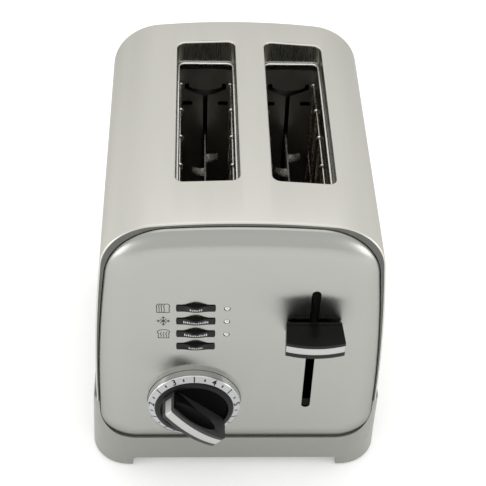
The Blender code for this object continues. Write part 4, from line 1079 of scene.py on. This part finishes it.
def bread_guides():
    """Welded wire frames hung from their upper rods, their uprights hooked over the top."""
    for node, body in GUIDES.items():
        box_low, box_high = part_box(node)
        x = middle(node).x
        pivot = box_high.z - 0.9 * MM
        near, far = box_low.y + 1.0 * MM, box_high.y - 1.0 * MM
        pieces = [tube(node + "_rod", [(x, near, pivot), (x, far, pivot)], UPRIGHT, "wire_steel")]
        foot = box_low.z + UPRIGHT
        last = high("rear_end_plate").y - 3.7 * MM
        for i in range(6):
            y = last - i * UPRIGHT_PITCH
            wire = [(x, y, foot), (x, y, pivot - 4.0 * MM)]
            for k in range(9):
                turn = math.radians(-60 + 30 * k)
                wire.append((x + HOOK * math.cos(turn), y, pivot + HOOK * math.sin(turn)))
            pieces.append(tube("%s_upright_%d" % (node, i + 1), wire, UPRIGHT, "wire_steel", 3))
        for k, z in enumerate((foot, foot + (pivot - foot) * 0.45)):
            wire = [(x, last - 5 * UPRIGHT_PITCH, z), (x, last, z)]
            pieces.append(tube("%s_tie_%d" % (node, k + 1), wire, TIE, "wire_steel", 3))
        for piece in pieces[1:]:
            ride(piece, body, "plated_steel")
        ride(pieces[0], body, "plated_steel", node)


def bread_racks():
    """Blades with curved tabs bent out alternately to either side."""
    for side, x in SLOT_X.items():
        node = "bread_rack_" + side
        box_low, box_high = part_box(node)
        top, foot = box_high.z, box_high.z - 11.0 * MM
        outline = [(box_low.y, foot), (box_high.y, foot), (box_high.y, top - 3 * MM),
                   (box_high.y - 8 * MM, top), (box_low.y, top)]
        blade = slab("rack_blade_" + side, [outline], 1.2 * MM, facing_side(x, 0), "wire_steel")
        bevel(blade, 0.2 * MM, 2, 50)
        ride(settle(blade, 40), "carriage", "plated_steel", node)
        start = middle("rear_end_plate").y - 22.5 * MM
        for i in range(8):
            sign = 1 if i % 2 == 0 else -1
            y = start - i * TAB_PITCH
            rows = []
            for k in range(9):
                share = k / 8
                half = (4.0 - 1.6 * share ** 2) * MM
                rise = 2.6 * MM * share ** 2
                rows.append([(x + sign * (0.4 * MM + 8.2 * MM * share), y + half * u,
                              top - 5.4 * MM + rise + 0.5 * MM * u * u) for u in (-1, -0.5, 0, 0.5, 1)])
            tab = thicken(skin("rack_tab_%s_%d" % (side, i + 1), rows, "wire_steel"), 0.7 * MM)
            ride(settle(tab, 50), "carriage", "plated_steel")


def lift_spring():
    """The lift's coil, stretched between the housing and the carriage."""
    box_low, box_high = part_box("lift_spring")
    place = middle("lift_spring")
    radius = box_high.x - place.x - 0.5 * MM
    path = []
    turns, steps = 16, 18
    for i in range(turns * steps + 1):
        angle = 2 * math.pi * i / steps
        z = box_low.z + 0.6 * MM + (box_high.z - box_low.z - 1.2 * MM) * i / (turns * steps)
        path.append((place.x + radius * math.cos(angle), place.y + radius * math.sin(angle), z))
    coil = tube("lift_coil", path, 0.5 * MM, "wire_steel", 2)
    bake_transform(coil)
    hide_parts("lift_spring")


# ---- the CAD nodes that stay ----
KEPT = {
    "rubber": ["foot_pad_" + corner for corner in CORNERS],
    "plated_steel": ("bottom_plate", "rear_end_plate", "chassis_top_plate",
                     "heat_reflector_left", "heat_reflector_right"),
    "tray_steel": ("crumb_tray",),
    "dark_steel": ("front_end_plate", "lift_bracket", "lever_arm"),
    "wire_steel": ("guide_rod", "dial_shaft"),
    "magnet_iron": ["electromagnet_core", "armature_plate"]
                   + ["bottom_screw_%d" % (i + 1) for i in range(4)],
    "copper_winding": ("electromagnet_coil",),
    "mica": ("mica_card_left", "mica_card_centre", "mica_card_right"),
    "nichrome": ("heating_ribbon_left", "heating_ribbon_centre", "heating_ribbon_right"),
    "green_board": ("control_board",),
    "black_plastic": ["cord_gland", "browning_potentiometer"]
                     + ["button_switch_%d" % (i + 1) for i in range(4)],
}


def dress_kept_nodes():
    """Finishes and smooth shading for the CAD nodes that no finer piece replaces."""
    for look, names in KEPT.items():
        for name in names:
            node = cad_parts[name]
            node.data.materials.clear()
            node.data.materials.append(LOOKS[look])
            if "custom_normal" in node.data.attributes:
                node.data.attributes.remove(node.data.attributes["custom_normal"])
            node.data.polygons.foreach_set("use_smooth", [True] * len(node.data.polygons))
            joined = node.modifiers.new("joined", "WELD")
            joined.merge_threshold = 0.00001
            split = node.modifiers.new("edges", "EDGE_SPLIT")
            split.split_angle = math.radians(32)


# ---- floor, light and camera ----
def area_light(name, place, target, size, power):
    """A rectangular light of a size in metres and a power in watts."""
    light = bpy.data.lights.new(name, "AREA")
    light.shape = "RECTANGLE"
    light.size, light.size_y = size
    light.energy = power
    item = linked(name, light)
    item.location = place
    item.rotation_mode = "QUATERNION"
    item.rotation_quaternion = (Vector(target) - Vector(place)).to_track_quat("-Z", "Y")


def studio():
    """A pale floor under an even sky, with a soft light overhead and one on either side."""
    bpy.ops.mesh.primitive_plane_add(size=8.0, location=(0, 0, -0.0002))
    floor = bpy.context.object
    floor.name = "studio_floor"
    paper = Finish("floor_paper", (0.96, 0.96, 0.96), 0.85, 0.0, 0.1)
    paper.vary_colour(paper.noise(3.0), (0.95, 0.95, 0.95))
    paper.shader.inputs["Emission Color"].default_value = (1.0, 1.0, 1.0, 1.0)
    paper.shader.inputs["Emission Strength"].default_value = 0.22
    floor.data.materials.append(paper.material)
    world = bpy.data.worlds.new("studio_world")
    world.use_nodes = True
    sky = world.node_tree.nodes["Background"]
    sky.inputs["Color"].default_value = (1.0, 1.0, 0.99, 1.0)
    sky.inputs["Strength"].default_value = 0.95
    bpy.context.scene.world = world
    area_light("overhead", (0.0, 0.1, 1.6), (0, 0, 0.1), (1.6, 1.6), 4.0)
    for name, sign in (("left_box", -1), ("right_box", 1)):
        area_light(name, (sign * 1.1, -0.45, 0.24), (0, 0, 0.12), (0.45, 0.35), 1.6)


CAMERA_PLACE = Vector((-30.0, -588.0, 685.1)) * MM
CAMERA_TURNS = (43.9, -3.33, 2.57)  # degrees down, to the left and of roll
CAMERA_LENS = 94.7


def camera():
    """The photo's point of view, from a fit of the body's edges."""
    data = bpy.data.cameras.new("view")
    data.lens = CAMERA_LENS
    data.sensor_width = 36.0
    item = linked("view", data)
    down, left, roll = CAMERA_TURNS
    item.matrix_world = Matrix.Translation(CAMERA_PLACE) @ spin(left, "Z") @ spin(90 - down, "X") \
        @ spin(roll, "Z")
    bpy.context.scene.camera = item
    bpy.context.scene.view_settings.view_transform = "Standard"


camera()
studio()
outer_shell()
front_panel()
rear_panel()
base()
lever_knob()
keys()
lamps()
icons()
dial()
bread_guides()
bread_racks()
lift_spring()
dress_kept_nodes()
